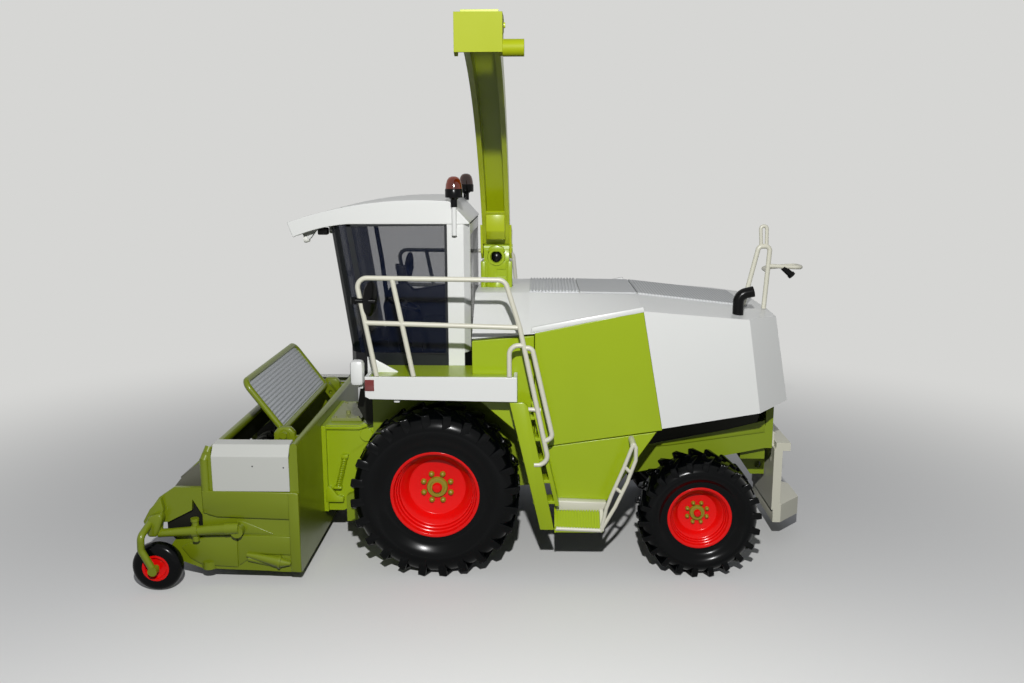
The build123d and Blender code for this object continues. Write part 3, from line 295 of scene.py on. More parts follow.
smoked_pane = smoked_plastic("smoked_pane", "1A2440", "101626", 0.28, 0.22)
dark_screen = smoked_plastic("dark_screen", "0E1418", "0A0F12", 0.8, 0.1)
amber_lens, tree = new_finish("amber_lens")
rim_share = node(tree, "LayerWeight", {"Blend": 0.4}).outputs["Facing"]
dress(tree, Base_Color=blend(tree, rim_share, "4A1206", "A63A08"), Roughness=0.12, Coat_Weight=0.5)
print("finishes in all:", len(bpy.data.materials))

# %% [markdown]
# ## Shaping helpers
# Every new piece starts in bmesh. These few helpers hold what the pieces share: a plate from an outline,
# a rod between two places, a turned form, a block and a coil.

# %% Places and edges
AXES = {"x": Vector((1, 0, 0)), "y": Vector((0, 1, 0)), "z": Vector((0, 0, 1))}
MERGE = 0.002 * MM  # points nearer than this are one
AXIS_POINT = 0.01  # a turned form's radius where it meets its own axis, before merging


def frame_point(plane, across, up, depth):
    """A place from an outline: plane 'side' has (x, z) at y, 'cross' (y, z) at x, 'level' (x, y) at z."""
    if plane == "side":
        return at(across, depth, up)
    if plane == "cross":
        return at(depth, across, up)
    return at(across, up, depth)


def round_edges(form, corners, edge):
    """Rounds all edges that meet these corners."""
    around = {e for v in corners for e in v.link_edges}
    bmesh.ops.bevel(form, geom=list(around), offset=edge * MM, affect="EDGES", segments=2, profile=0.5,
                    material=-1)


# %% Plates, rods, turned forms, blocks and coils
def add_plate(form, plane, outline, low, high, edge=0.0):
    """A flat plate with that outline between two depths, its edges rounded by edge."""
    corners = [form.verts.new(frame_point(plane, a, b, low)) for a, b in outline]
    face = form.faces.new(corners)
    pushed = bmesh.ops.extrude_face_region(form, geom=[face])["geom"]
    top = [item for item in pushed if isinstance(item, bmesh.types.BMVert)]
    shift = frame_point(plane, 0, 0, high) - frame_point(plane, 0, 0, low)
    bmesh.ops.translate(form, vec=shift, verts=top)
    if edge:
        round_edges(form, corners + top, edge)


def add_rod(form, start, end, radius, sides=20, tip=None):
    """A round bar between two places; tip gives its other radius when it tapers."""
    a, b = at(*start), at(*end)
    turn = (b - a).to_track_quat("Z", "Y").to_matrix().to_4x4()
    bmesh.ops.create_cone(form, cap_ends=True, segments=sides, radius1=radius * MM,
                          radius2=(radius if tip is None else tip) * MM, depth=(b - a).length,
                          matrix=Matrix.Translation((a + b) / 2) @ turn)


def add_turned(form, profile, centre, sign=1, axis="y", steps=64, closed=False):
    """A form turned about an axle through centre; profile is (distance along the axle, radius)."""
    along = AXES[axis] * sign * MM
    across = (AXES["x"] if axis == "z" else AXES["z"]) * MM
    ring = [form.verts.new(at(*centre) + along * out + across * radius) for out, radius in profile]
    ends = zip(ring, ring[1:] + ring[:1]) if closed else zip(ring, ring[1:])
    edges = [form.edges.new(pair) for pair in ends]
    bmesh.ops.spin(form, geom=ring + edges, cent=at(*centre), axis=AXES[axis], angle=2 * math.pi,
                   steps=steps, use_merge=True)


def add_block(form, place, size, turn=None, edge=0.0):
    """A rectangular block about its middle, turned by a matrix; edge rounds it."""
    scale = Matrix.Diagonal([v * MM for v in size] + [1.0])
    matrix = Matrix.Translation(place) @ (turn or Matrix()) @ scale
    made = bmesh.ops.create_cube(form, size=1.0, matrix=matrix)["verts"]
    if edge:
        round_edges(form, made, edge)


def add_coil(form, start, end, radius, wire, turns, steps=14):
    """A wire spring between two places: one ring of the wire is wound along the axis."""
    a, b = at(*start), at(*end)
    along = (b - a).normalized()
    out = along.orthogonal().normalized()
    facing = along.cross(out).to_track_quat("Z", "Y").to_matrix().to_4x4()
    ring = bmesh.ops.create_circle(form, segments=8, radius=wire * MM,
                                   matrix=Matrix.Translation(a + out * radius * MM) @ facing)["verts"]
    edges = list({e for v in ring for e in v.link_edges})
    bmesh.ops.spin(form, geom=ring + edges, cent=a, axis=along, dvec=(b - a) / (turns * steps),
                   angle=2 * math.pi * turns, steps=turns * steps)


def add_both(form, outline, low, high, edge=0.0):
    """A side plate on the left and its mirror image on the right."""
    for _, sign in SIDES:
        add_plate(form, "side", outline, sign * low, sign * high, edge)


def add_rods(form, start, end, radius, tip=None, sides=20):
    """A round bar on the left and its mirror image on the right."""
    for _, sign in SIDES:
        add_rod(form, *((x, sign * y, z) for x, y, z in (start, end)), radius, sides, tip)


# %% [markdown]
# ## From a form to a piece
# A finished form becomes an object that rides on its body, so that it moves with the joint. Turned forms
# with a point on their own axis are merged there first, and capped if they are left open.


# %% Finishing helpers
def make_piece(name, form, finish, body, stands_for=(), smooth=38, bevel=0.0):
    """The bmesh becomes an object that rides on a body and wears a finish."""
    mesh = bpy.data.meshes.new(name)
    form.to_mesh(mesh)
    form.free()
    made = new_object(name, mesh)
    mesh.materials.append(finish)
    mesh.shade_smooth()
    mesh.set_sharp_from_angle(angle=math.radians(smooth))
    if bevel:
        rounding = made.modifiers.new("rounded_edges", "BEVEL")
        rounding.width, rounding.segments = bevel * MM, 2
        rounding.limit_method, rounding.angle_limit = "ANGLE", math.radians(28)
        rounding.harden_normals = True
    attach(made, body)
    if stands_for:
        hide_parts(*stands_for)


def merge_points(form):
    bmesh.ops.remove_doubles(form, verts=form.verts, dist=MERGE)


def finish_piece(name, form, finish, body, stands_for=(), smooth=38, bevel=0.0):
    """Merges doubles, turns the faces outward and makes the piece."""
    merge_points(form)
    bmesh.ops.recalc_face_normals(form, faces=form.faces)
    make_piece(name, form, finish, body, stands_for, smooth, bevel)


def stand_in(name, form, finish, body, node_name, smooth=38, bevel=0.0):
    """A piece in place of a node, which it hides."""
    finish_piece(name, form, finish, body, (node_name,), smooth, bevel)


def plates_piece(name, rows, finish, body):
    """A piece of side plates and their mirror images; rows are (outline, low, high, edge)."""
    form = bmesh.new()
    for row in rows:
        add_both(form, *row)
    finish_piece(name, form, finish, body)


def cap_ends(form):
    """Closes what a turned profile leaves open at its two ends."""
    merge_points(form)
    bmesh.ops.holes_fill(form, edges=form.edges, sides=0)


# %% [markdown]
# ## Road wheels
# A tyre is turned from its section: round sidewall, bead tucked behind the rim's lip, low crown. Each lug
# is a bar that slants from the tread's middle to the shoulder and ends in a square foot on the sidewall.
# Each is set square at its own angle round the axle, in two rows that stand half a pitch apart.

# %% Wheel sizes
# outside is the outer face's distance from the machine's middle, recess how deep the disc lies in the rim,
# lean which way the lugs point, and crown_share how much of the wall the carcass fills under its lugs
Wheel = namedtuple("Wheel", "name axle_x radius width outside rim_radius recess lugs lean crown_share")
WHEELS = (Wheel("front", 0, 28.3, 20, 47, 14.9, 8.2, 24, 1, 0.945),
          Wheel("rear", -88, 20.4, 16, 45.5, 10.7, 5.6, 22, -1, 0.9))
BEAD_INSET = 2.3  # from the tyre's widest face to its bead


def wheel_names(wheel, side):
    """How a wheel's pieces begin their names, and its body."""
    return f"{wheel.name}_{side}", f"{wheel.name}_wheel_{side}"


def wheel_centre(wheel, sign):
    """The middle of a road wheel, on its axle."""
    return wheel.axle_x, sign * (wheel.outside - wheel.width / 2), wheel.radius


# %% Carcass
# from bead to crown: how far inside the widest face, and how high up the wall as a share
SIDEWALL = ((2.27, 0.12), (2.1, 0.18), (1.76, 0.24), (1.32, 0.3), (0.84, 0.36), (0.45, 0.43), (0.16, 0.51),
            (0.04, 0.58), (0.12, 0.65), (0.42, 0.73), (1, 0.82), (1.9, 0.91), (3.4, 0.975))


def add_carcass(form, wheel, centre, sign):
    """The tyre without its lugs, turned from its section."""
    half, wall = wheel.width / 2, wheel.radius - wheel.rim_radius
    lip = half - BEAD_INSET
    heights = [(lip, 0)] + [(half - inset, share) for inset, share in SIDEWALL] + [(0, 1)]
    section = [(out, wheel.rim_radius + share * wheel.crown_share * wall) for out, share in heights]
    inner = [(lip - 0.9, wheel.rim_radius), (lip - 0.9, wheel.rim_radius - 1)]
    profile = section + [(-out, r) for out, r in section[-2::-1]]
    profile += [(-out, r) for out, r in inner] + [(out, r) for out, r in reversed(inner)]
    add_turned(form, profile, centre, sign, steps=96, closed=True)


# %% Lugs
# all but the last are shares of the tyre's radius
LUG_CORNER, LUG_SWEEP = 0.155, 0.175  # along the tread: a lug's far corner, and how far it slants
LUG_WIDTH, FOOT_WIDTH = 0.088, 0.098
LUG_SHIFT, FOOT_SHIFT = 0.0175, 0.058  # of their middles, along the tread
LUG_EDGE = 0.22  # the rounding of its edges, in millimetres


def tread_place(centre, radius, angle, out, along):
    """A place on the tyre: angle round the axle, out along it, along the tread's tangent."""
    turn = math.radians(angle)
    normal = Vector((math.cos(turn), 0, math.sin(turn)))
    tangent = Vector((-math.sin(turn), 0, math.cos(turn)))
    return at(*centre) + (normal * radius + tangent * along + Vector((0, out, 0))) * MM


def lug_turn(angle, lean):
    """Turns a block whose x runs along the tread, y along the axle and z outward."""
    return Matrix.Rotation(math.radians(-angle - 270), 4, "Y") @ Matrix.Rotation(lean, 4, "Z")


def add_lugs(form, wheel, centre):
    """Two rows of slanting lugs, each with a square foot on the sidewall."""
    half, wall, radius = wheel.width / 2, wheel.radius - wheel.rim_radius, wheel.radius
    tip = radius * math.sqrt(1 - LUG_CORNER ** 2)
    crown = wheel.rim_radius + (wheel.crown_share - 0.05) * wall
    foot_low, foot_high = wheel.rim_radius + 0.6 * wall, tip - 0.25
    slant = math.atan2(LUG_SWEEP * radius, half - 0.3)
    first = -90 - math.degrees(math.asin(LUG_CORNER))
    lug = (LUG_WIDTH * radius, (half - 0.75) / math.cos(slant), tip - crown)
    foot = (FOOT_WIDTH * radius, 1.5, foot_high - foot_low)
    for row in (1, -1):
        lean = row * wheel.lean * slant
        for turn in range(wheel.lugs):
            angle = first + (turn + 0.25 - 0.25 * row) * 360 / wheel.lugs
            middle = tread_place(centre, (tip + crown) / 2, angle, row * (half / 2 - 0.1),
                                 -wheel.lean * LUG_SHIFT * radius)
            add_block(form, middle, lug, lug_turn(angle, lean), LUG_EDGE)
            middle = tread_place(centre, (foot_low + foot_high) / 2, angle, row * (half - 1.05),
                                 wheel.lean * FOOT_SHIFT * radius)
            add_block(form, middle, foot, lug_turn(angle, lean * 0.45), LUG_EDGE)


for wheel in WHEELS:
    for side, sign in SIDES:
        form = bmesh.new()
        add_carcass(form, wheel, wheel_centre(wheel, sign), sign)
        add_lugs(form, wheel, wheel_centre(wheel, sign))
        name, body = wheel_names(wheel, side)
        stand_in(f"{name}_tyre_with_lugs", form, tyre_vinyl, body, f"{name}_tyre", smooth=32)
print("tyres made, lugs to a tyre:", [2 * wheel.lugs for wheel in WHEELS])

# %% [markdown]
# ## Rims and hubs
# A rim is turned too, with the steps of its barrel between the lip and the disc. Eight nuts, a raised ring
# and a low cap make the hub; the rear wheel has the same forms, made smaller with its rim.


# %% Rims
# how far down from lip to disc as a share, and how far in at the front rim's scale
BARREL_STEPS = ((0.18, 0), (0.21, 0.4), (0.36, 0.6), (0.39, 1), (0.54, 1.2), (0.57, 1.6))
# how far out from the disc, and how far in
DISC_DISH = ((1.1, 3.2), (0.25, 3.9), (0, 4.6))


def rim_measures(wheel):
    """How far out the lip and the disc lie, and the rim's scale to the front one."""
    lip = wheel.width / 2 - BEAD_INSET
    return lip, lip - wheel.recess, wheel.rim_radius / WHEELS[0].rim_radius


def rim_profile(wheel):
    """Lip, three steps down the barrel, a dished disc, and back along the inside."""
    lip, face, scale = rim_measures(wheel)
    rim_radius = wheel.rim_radius
    seat = rim_radius - 1.0
    well, depth, barrel = seat - 1.2, lip - face, rim_radius - 1.35
    profile = [(-lip, seat), (-lip, rim_radius), (-lip + 0.9, rim_radius), (-lip + 0.9, seat),
               (lip - 0.9, seat), (lip - 0.9, rim_radius), (lip, rim_radius),
               (lip + 0.05, rim_radius - 0.35), (lip - 0.2, seat)]
    profile += [(lip - share * depth, barrel - step * scale) for share, step in BARREL_STEPS]
    profile += [(face + out * scale, barrel - step * scale) for out, step in DISC_DISH]
    return profile + [(face, 0), (face - 2, 0), (face - 2, well - 1.6), (face - 1.8, well),
                      (-lip, well)]


def make_rim(wheel, side, sign):
    form = bmesh.new()
    add_turned(form, rim_profile(wheel), wheel_centre(wheel, sign), sign, steps=96, closed=True)
    bmesh.ops.dissolve_degenerate(form, dist=MERGE / 2, edges=form.edges)
    name, body = wheel_names(wheel, side)
    stand_in(f"{name}_stepped_rim", form, red_polystyrene, body, f"{name}_rim", smooth=30, bevel=0.12)


# %% Nuts, hub rings and caps
NUTS, NUT_CIRCLE = 8, 4.95
# how far out, and radius on the front wheel
NUT = ((0, 1), (0.35, 1), (0.8, 0.85), (1.15, 0.45), (1.25, 0))
HUB_RING = ((0, 3.65), (0.5, 3.6), (0.95, 3.3), (1, 2.5), (0.7, 2.3), (0.7, 1.5))
HUB_CAP = ((0.6, 1.75), (1.5, 1.7), (1.9, 1.35), (2.05, 0))


def narrowed(profile, scale):
    return [(out, max(radius * scale, AXIS_POINT)) for out, radius in profile]


def make_hub(wheel, side, sign):
    """Eight nuts, a raised ring and a low cap on the disc."""
    axle_x, middle_y, axle_z = wheel_centre(wheel, sign)
    _, face, scale = rim_measures(wheel)
    disc = (axle_x, middle_y + sign * face, axle_z)
    name, body = wheel_names(wheel, side)
    form = bmesh.new()
    for turn in range(NUTS):
        angle = math.radians(22.5 + 360 / NUTS * turn)
        nut = (axle_x + NUT_CIRCLE * scale * math.cos(angle), disc[1],
               axle_z + NUT_CIRCLE * scale * math.sin(angle))
        add_turned(form, narrowed(NUT, scale), nut, sign, steps=18)
    add_turned(form, narrowed(HUB_RING, scale), disc, sign, steps=48)
    cap_ends(form)
    finish_piece(f"{name}_nuts_and_ring", form, brass_enamel, body, smooth=40)
    form = bmesh.new()
    add_turned(form, narrowed(HUB_CAP, scale), disc, sign, steps=32)
    cap_ends(form)
    finish_piece(f"{name}_hub_cap", form, red_polystyrene, body, smooth=40)


for wheel in WHEELS:
    for side, sign in SIDES:
        make_rim(wheel, side, sign)
        make_hub(wheel, side, sign)
print("rims and hubs made, nuts to a hub:", NUTS)

# %% [markdown]
# ## Gauge wheels
# The two small wheels of the header have smooth ring tyres with rounded shoulders.

# %% Gauge tyres
GAUGE_X, GAUGE_Y, GAUGE_RADIUS = 89.3, 57, 8.1
RING_HALF = ((2.5, 4.4), (2.5, 6.3), (2.2, 7.2), (1.5, 7.9), (0.7, GAUGE_RADIUS))
ring = list(RING_HALF) + [(-out, radius) for out, radius in reversed(RING_HALF)]
for side, sign in SIDES:
    form = bmesh.new()
    add_turned(form, ring, (GAUGE_X, sign * GAUGE_Y, GAUGE_RADIUS), sign, steps=56, closed=True)
    stand_in(f"gauge_{side}_ring_tyre", form, tyre_vinyl, f"gauge_wheel_{side}", f"gauge_{side}_tyre",
             smooth=50)
print("gauge tyres, radius in mm:", GAUGE_RADIUS)

# %% [markdown]
# ## Beacons
# A beacon is turned on its pole: a thin neck, a black skirt and an amber dome that closes on top.

# %% Beacons
# (height, radius)
SKIRT = ((122.2, 0), (122.2, 1.1), (124.6, 1.1), (125.2, 1.7), (125.3, 2.8), (125.6, 2.9), (127.9, 2.9),
         (128.2, 2.75), (128.2, 0))
DOME = ((128, 0), (128, 2.78), (129.6, 2.62), (131, 2.2), (131.8, 1.6), (132.2, 0.7), (132.2, 0))
for side, sign in SIDES:
    centre = (-6.1, sign * 26.95, 0)
    form = bmesh.new()
    add_turned(form, narrowed(SKIRT, 1), centre, axis="z", steps=40)
    merge_points(form)
    finish_piece(f"beacon_{side}_skirt", form, black_abs, "machine", smooth=35)
    form = bmesh.new()
    add_turned(form, narrowed(DOME, 1), centre, axis="z", steps=40)
    merge_points(form)
    finish_piece(f"beacon_{side}_dome", form, amber_lens, "machine",
                 ("beacons",) if sign > 0 else (), smooth=50)
print("beacons made")

# %% [markdown]
# ## Pieces whose solid is right
# Many castings have the right shape already, but their edges are knife sharp. A real casting has a small
# radius on every edge, which is what catches the light. A copy of the solid is merged into clean faces
# and bevelled, and stands in for it.


# %% Rounded copies of the solids
def rounded_copy(node_name, finish, width):
    """A bevelled copy of a solid, on the same body."""
    solid = frame["nodes"][node_name]
    form = bmesh.new()
    form.from_mesh(solid.data)
    merge_points(form)
    bmesh.ops.dissolve_limit(form, angle_limit=math.radians(1), verts=form.verts, edges=form.edges)
    make_piece(f"{node_name}_casting", form, finish, solid["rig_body"],
               (node_name,), bevel=width)


# columns: node, finish, edge radius in mm
CASTINGS = (
    ("hood_shell", white_abs, 0.35), ("side_panels", lime_enamel, 0.3),
    ("lower_panels", lime_enamel, 0.25), ("cab_roof", white_abs, 1.3), ("cab_posts", white_abs, 0.3),
    ("cab_tub", smoke_black, 0.25), ("platform_skirts", white_abs, 0.6),
    ("platform_decks", lime_enamel, 0.15), ("header_frame", header_enamel, 0.3),
    ("feeder_housing", lime_enamel, 0.25), ("feeder_hatch", hatch_enamel, 0.2),
    ("end_covers", cover_abs, 0.2), ("rear_ladder", cream_abs, 0.4), ("chassis", chassis_enamel, 0.2),
    ("hood_carriers", chassis_enamel, 0.2), ("spout_boom", boom_enamel, 0.2),
    ("spout_flap", flap_enamel, 0.5), ("spout_turret", lime_enamel, 0.2), ("seat", smoke_black, 0.8),
    ("engine_cover", grey_abs, 0.12))
for node_name, finish, width in CASTINGS:
    rounded_copy(node_name, finish, width)
print("castings with rounded edges:", len(CASTINGS))

# %% Solids that stay, with their own finish
STAY = (
    (chassis_enamel, "front_axle", "rear_axle", "steering_knuckle_left", "steering_knuckle_right"),
    (header_enamel, "gauge_arms", "intake_auger", "guard_frame"), (trough_black, "pickup_reel"),
    (cream_abs, "railings", "rear_rail"), (black_abs, "exhaust"), (white_abs, "beacon_poles"),
    (smoked_pane, "cab_windows"), (dark_screen, "windscreen"), (smoke_black, "steering_wheel"),
    (red_polystyrene, "gauge_left_disc", "gauge_right_disc"), (mesh_grey, "radiator_screen"))
for finish, *names in STAY:
    for name in names:
        for place in frame["nodes"][name].material_slots:
            place.material = finish
print("finishes for the solids that stay:", len(STAY))

# %% [markdown]
# ## Header ends
# Each end plate of the pick-up is a pressed sheet: raised bands with slanting creases, a flange along its
# back, and a tube up the front of the white cover. They are flat plates with softened edges that stand a
# little proud of the casting, because a crease is seen by its lit edge and its shadow, not by its depth.
# A crop cone lies low at the back, and a shock strut with a cross bolt runs to the gauge wheel's arm.

# %% Pressed bands on the end plates
END_FACE = 52.0  # the plate's outer face, from the machine's middle
# columns: outline (x, z), rise
BANDS = (
    (((75, 32.2), (43.6, 31.7), (44.2, 22.4), (70.4, 23.2), (73.4, 24), (75.1, 25.6)), 0.95),
    (((64.2, 16.9), (44.4, 16.3), (44.6, 9.9), (58.2, 10.4), (64.2, 6.2)), 0.55),
    (((64.6, 16.9), (75.8, 16.4), (83.2, 12.6), (80.4, 8.6), (76.2, 6.2), (64.6, 5.6)), 0.55),
    (((62.1, 21.6), (52.1, 17.2), (64.2, 17.2), (64.2, 21.8)), 0.35),
    (((46.9, 31.5), (43.45, 31.5), (43.45, 4.2), (46.9, 4.4)), 1.35),
    (((88.4, 29.8), (92.2, 26), (94.6, 21.8), (93.6, 19.4), (91, 19.8), (89.4, 22.6), (87.6, 25.6)),
     2))
form = bmesh.new()
for outline, rise in BANDS:
    add_both(form, outline, END_FACE - 0.3, END_FACE + rise, edge=min(0.35, 0.5 * rise))
arm_bracket = ((93.6, 20.8), (91.8, 24.3), (87.8, 25.5), (87.2, 23.6), (88.8, 19.4), (89.6, 17.3),
               (92.4, 17.3))
add_both(form, arm_bracket, 52.6, 56.4, edge=0.8)
add_rods(form, (74, 51.4, 24.6), (74, 51.4, 42.6), 1.55)
add_rods(form, (74, 51.4, 42), (72.7, 49.6, 46.2), 1.55, tip=1.3)
add_rods(form, (74.5, 51, 4.9), (74.5, 51, 7.4), 2.5)
finish_piece("header_end_relief", form, header_enamel, "header", smooth=50)
print("pressed bands on each end:", len(BANDS))

# %% Crop cones, shock struts and the covers' pin holes
CONE_Y, STRUT_Y, BOLT_X = 52.8, 54.2, 77.4
# columns: start, end, radius, and radius at the end where it tapers
STRUTS = (
    ((61.4, 52.7, 10.2), (50.9, CONE_Y, 7.8), 0.8, 1.85),
    ((50.9, CONE_Y, 7.8), (50.2, CONE_Y, 7.7), 2.15),
    ((50.2, CONE_Y, 7.7), (47, CONE_Y, 7.2), 1.7, 0.6),
    ((89.6, STRUT_Y, 17.95), (67.2, STRUT_Y, 19.8), 1.3, 1.75),
    ((67.4, STRUT_Y, 19.8), (63, STRUT_Y, 20), 2.05, 1.9),
    ((78.3, STRUT_Y, 18.9), (76.4, STRUT_Y, 19.1), 2),
    ((BOLT_X, STRUT_Y, 20), (BOLT_X, STRUT_Y, 23.2), 0.95),
    ((BOLT_X, STRUT_Y, 22.3), (BOLT_X, STRUT_Y, 23.3), 1.35),
    ((BOLT_X, STRUT_Y, 17.4), (BOLT_X, STRUT_Y, 15.6), 1.15))
form = bmesh.new()
for strut in STRUTS:
    add_rods(form, *strut)
finish_piece("header_struts", form, header_enamel, "header", smooth=45)
form = bmesh.new()
# the covers' pin holes are black discs, as painted shade in the holes
for x, z in ((58, 40.6), (47.9, 40.2)):
    add_rods(form, (x, 52.6, z), (x, 52.84, z), 0.24)
finish_piece("cover_pin_holes", form, seal_rubber, "header")
print("rods in the cones and struts:", len(STRUTS))

# %% [markdown]
# ## Inside the header
# The trough is in shade inside. Its back and ends get a thin black lining of painted shade, which leaves
# the feeder's mouth open and closes the notch in the end plate, and a black apron of painted shade hangs
# under the hold-down plate.
# Black pick-up bands curve round the reel between its rows of tines, as crescents cut from plate, so the
# tines still turn freely in their gaps.

# %% Trough lining
SHADE_LINING_BACK = (45.05, 45.3)  # x of the lining on the back wall
MOUTH_HALF, MOUTH_TOP, TROUGH_TOP = 17, 37, 43
PLATE_HALF = 44.8  # half the width of the hold-down plate
# a thin black sheet of painted shade on the trough's back and ends
end_shade_lining = ((45.3, TROUGH_TOP), (45.3, 10), (54, 8.2), (68, 7.4), (76, 8), (83.5, 12.4),
              (88, 16.8), (88, 21.6), (82, 26), (82, 32.4), (75, 32.6), (71, TROUGH_TOP))
form = bmesh.new()
add_both(form, end_shade_lining, 50.2, 50.45)
for _, sign in SIDES:
    beside_mouth = ((MOUTH_HALF, 17), (49.8, 17), (49.8, TROUGH_TOP), (MOUTH_HALF, TROUGH_TOP))
    add_plate(form, "cross", [(sign * y, z) for y, z in beside_mouth], *SHADE_LINING_BACK)
over_mouth = ((-MOUTH_HALF, MOUTH_TOP), (MOUTH_HALF, MOUTH_TOP), (MOUTH_HALF, TROUGH_TOP),
              (-MOUTH_HALF, TROUGH_TOP))
add_plate(form, "cross", over_mouth, *SHADE_LINING_BACK)
# a black plate of painted shade under the hold-down plate
shade_apron = ((73, 42.4), (74, 42.4), (76.6, 33), (75.6, 33))
add_plate(form, "side", shade_apron, -PLATE_HALF, PLATE_HALF)
finish_piece("trough_lining", form, trough_black, "header")

# %% Pick-up bands and hold-down plate
REEL_AXLE, BAND_INNER, BAND_OUTER = (77.5, 15), 9.4, 10.0
GAPS, GAP_PITCH, FIRST_GAP = 14, 6, -39.0
band_angles = [math.radians(-105 + 15 * step) for step in range(17)]
band = [(REEL_AXLE[0] + r * math.cos(a), REEL_AXLE[1] + r * math.sin(a))
        for r, angles in ((BAND_OUTER, band_angles), (BAND_INNER, band_angles[::-1])) for a in angles]
form = bmesh.new()
for gap in range(GAPS):
    y = FIRST_GAP + GAP_PITCH * gap
    add_plate(form, "side", band, y - 2.2, y + 2.2)
finish_piece("pickup_bands", form, trough_black, "header")
form = bmesh.new()
hold_down = ((73.2, 43.1), (84.9, 34), (84.6, 33.4), (73, 42.4))
add_plate(form, "side", hold_down, -PLATE_HALF, PLATE_HALF, edge=0.2)
add_both(form, ((74.6, 30.4), (87.2, 30.4), (84.6, 33.6), (73.6, 42.6)), 44.9, 45.6, edge=0.2)
finish_piece("hold_down_plate", form, sheet_brown, "header")
print("pick-up bands:", GAPS)

# %% [markdown]
# ## Wind guard
# The sheet in the guard's tube frame is rolled with ribs along its width. Its section is one wavy outline
# drawn through the ribs and drawn out sideways, which gives every rib its own highlight. The guard turns in
# two rounded lugs, each with a washer and a hexagon bolt.

# %% Ribbed guard sheet
GUARD_PIN, GUARD_ANGLE = (50.9, 43.9), math.radians(53.5)
RIBS, RIB_POINTS, RIB_HEIGHT = 14, 6, 0.15
SHEET_LOW, SHEET_HIGH, SHEET_HALF, SHEET_BACK = 4.2, 23.9, 31.9, -0.45


def guard_point(reach, lift):
    """A place on the tilted guard: reach along it from its pin, lift square to it."""
    along, across = math.cos(GUARD_ANGLE), math.sin(GUARD_ANGLE)
    return (GUARD_PIN[0] + reach * along - lift * across, GUARD_PIN[1] + reach * across + lift * along)


steps = RIBS * RIB_POINTS
wavy = [guard_point(SHEET_LOW + (SHEET_HIGH - SHEET_LOW) * step / steps,
                    0.3 + RIB_HEIGHT * math.cos(2 * math.pi * step / RIB_POINTS))
        for step in range(steps + 1)]
back = [guard_point(SHEET_HIGH, SHEET_BACK), guard_point(SHEET_LOW, SHEET_BACK)]
form = bmesh.new()
add_plate(form, "side", wavy + back, -SHEET_HALF, SHEET_HALF)
stand_in("ribbed_guard_sheet", form, guard_grey, "guard", "guard_sheet", smooth=60)
print("ribs in the guard sheet:", RIBS)

# %% Hinge lugs
BOLT_Z = 46.7
lug = ((47.6, 43.6), (47.7, 47.4), (49.3, 49.2), (53.2, 49.2), (54.9, 47.4), (55, 43.6), (53.3, 41.4),
       (49.2, 41.4))
form = bmesh.new()
add_both(form, lug, 35, 37.8, edge=0.6)
for inner, outer, radius, sides in ((37.7, 38.2, 1.9, 32), (38.1, 39.2, 1.3, 6)):
    add_rods(form, (51.3, inner, BOLT_Z), (51.3, outer, BOLT_Z), radius, sides=sides)
finish_piece("guard_hinge_bosses", form, header_enamel, "guard")
print("guard dressed")

# %% [markdown]
# ## Feeder
# A lip runs along the feeder's top and down its front corner, with a small foot beside it. Rivets hold the
# hatch, and a wire spring on a core rod stands at each side: one ring of the wire is wound along its axis.

# %% Feeder lip and foot
FEEDER_SIDE = 16.4
# columns: outline (x, z), outer face, edge radius
FEEDER_TRIM = (
    (((44.7, 43.7), (30.2, 43.7), (18.3, 48.3), (18.1, 47.2), (29.9, 42.6), (44.7, 42.6)), 17.7, 0.25),
    (((43.3, 43), (44.9, 43), (44.9, 12.5), (43.3, 12.5)), 17.9, 0.25),
    (((34, 33.4), (36.4, 33.4), (36.6, 32), (34.2, 32)), 18.6, 0.3),
    (((42.7, 18.8), (41.8, 21.5), (40.5, 20.6), (38.4, 17.8), (36.3, 17.2), (36.3, 15.4), (42.7, 15.4)),
     18.3, 0.3))
plates_piece("feeder_lip", [(outline, FEEDER_SIDE, outer, edge) for outline, outer, edge in FEEDER_TRIM],
             lime_enamel, "header")

# %% Hatch rivets and springs
RIVET = ((45.15, 0.62), (45.4, 0.55), (45.6, 0.3), (45.66, AXIS_POINT))  # (height, radius)
SPRING_Y = 18.0
form = bmesh.new()
for x in (31.4, 35.6, 39.8):
    for y in (-10.2, 10.2):
        add_turned(form, RIVET, (x, y, 0), axis="z", steps=14)
finish_piece("hatch_rivets", form, hatch_enamel, "header", smooth=60)
form = bmesh.new()
for _, sign in SIDES:
    add_coil(form, (38.1, sign * SPRING_Y, 21.6), (35.4, sign * SPRING_Y, 32), radius=0.75, wire=0.24,
             turns=15)
    add_rod(form, (38.3, sign * SPRING_Y, 20.9), (35.3, sign * SPRING_Y, 32.4), 0.5)
    add_block(form, at(38.3, sign * 17.6, 21), (3, 2.4, 0.9), edge=0.2)
finish_piece("feeder_springs", form, lime_enamel, "header", smooth=60)
print("feeder dressed")

# %% [markdown]
# ## Cab
# Black seals frame the door glass, the lower door is a black panel, and a dark console stands beside the
# seat. Lamps, mirrors and gussets are small moulded parts, drawn as plates, blocks and turned forms with
# rounded edges.

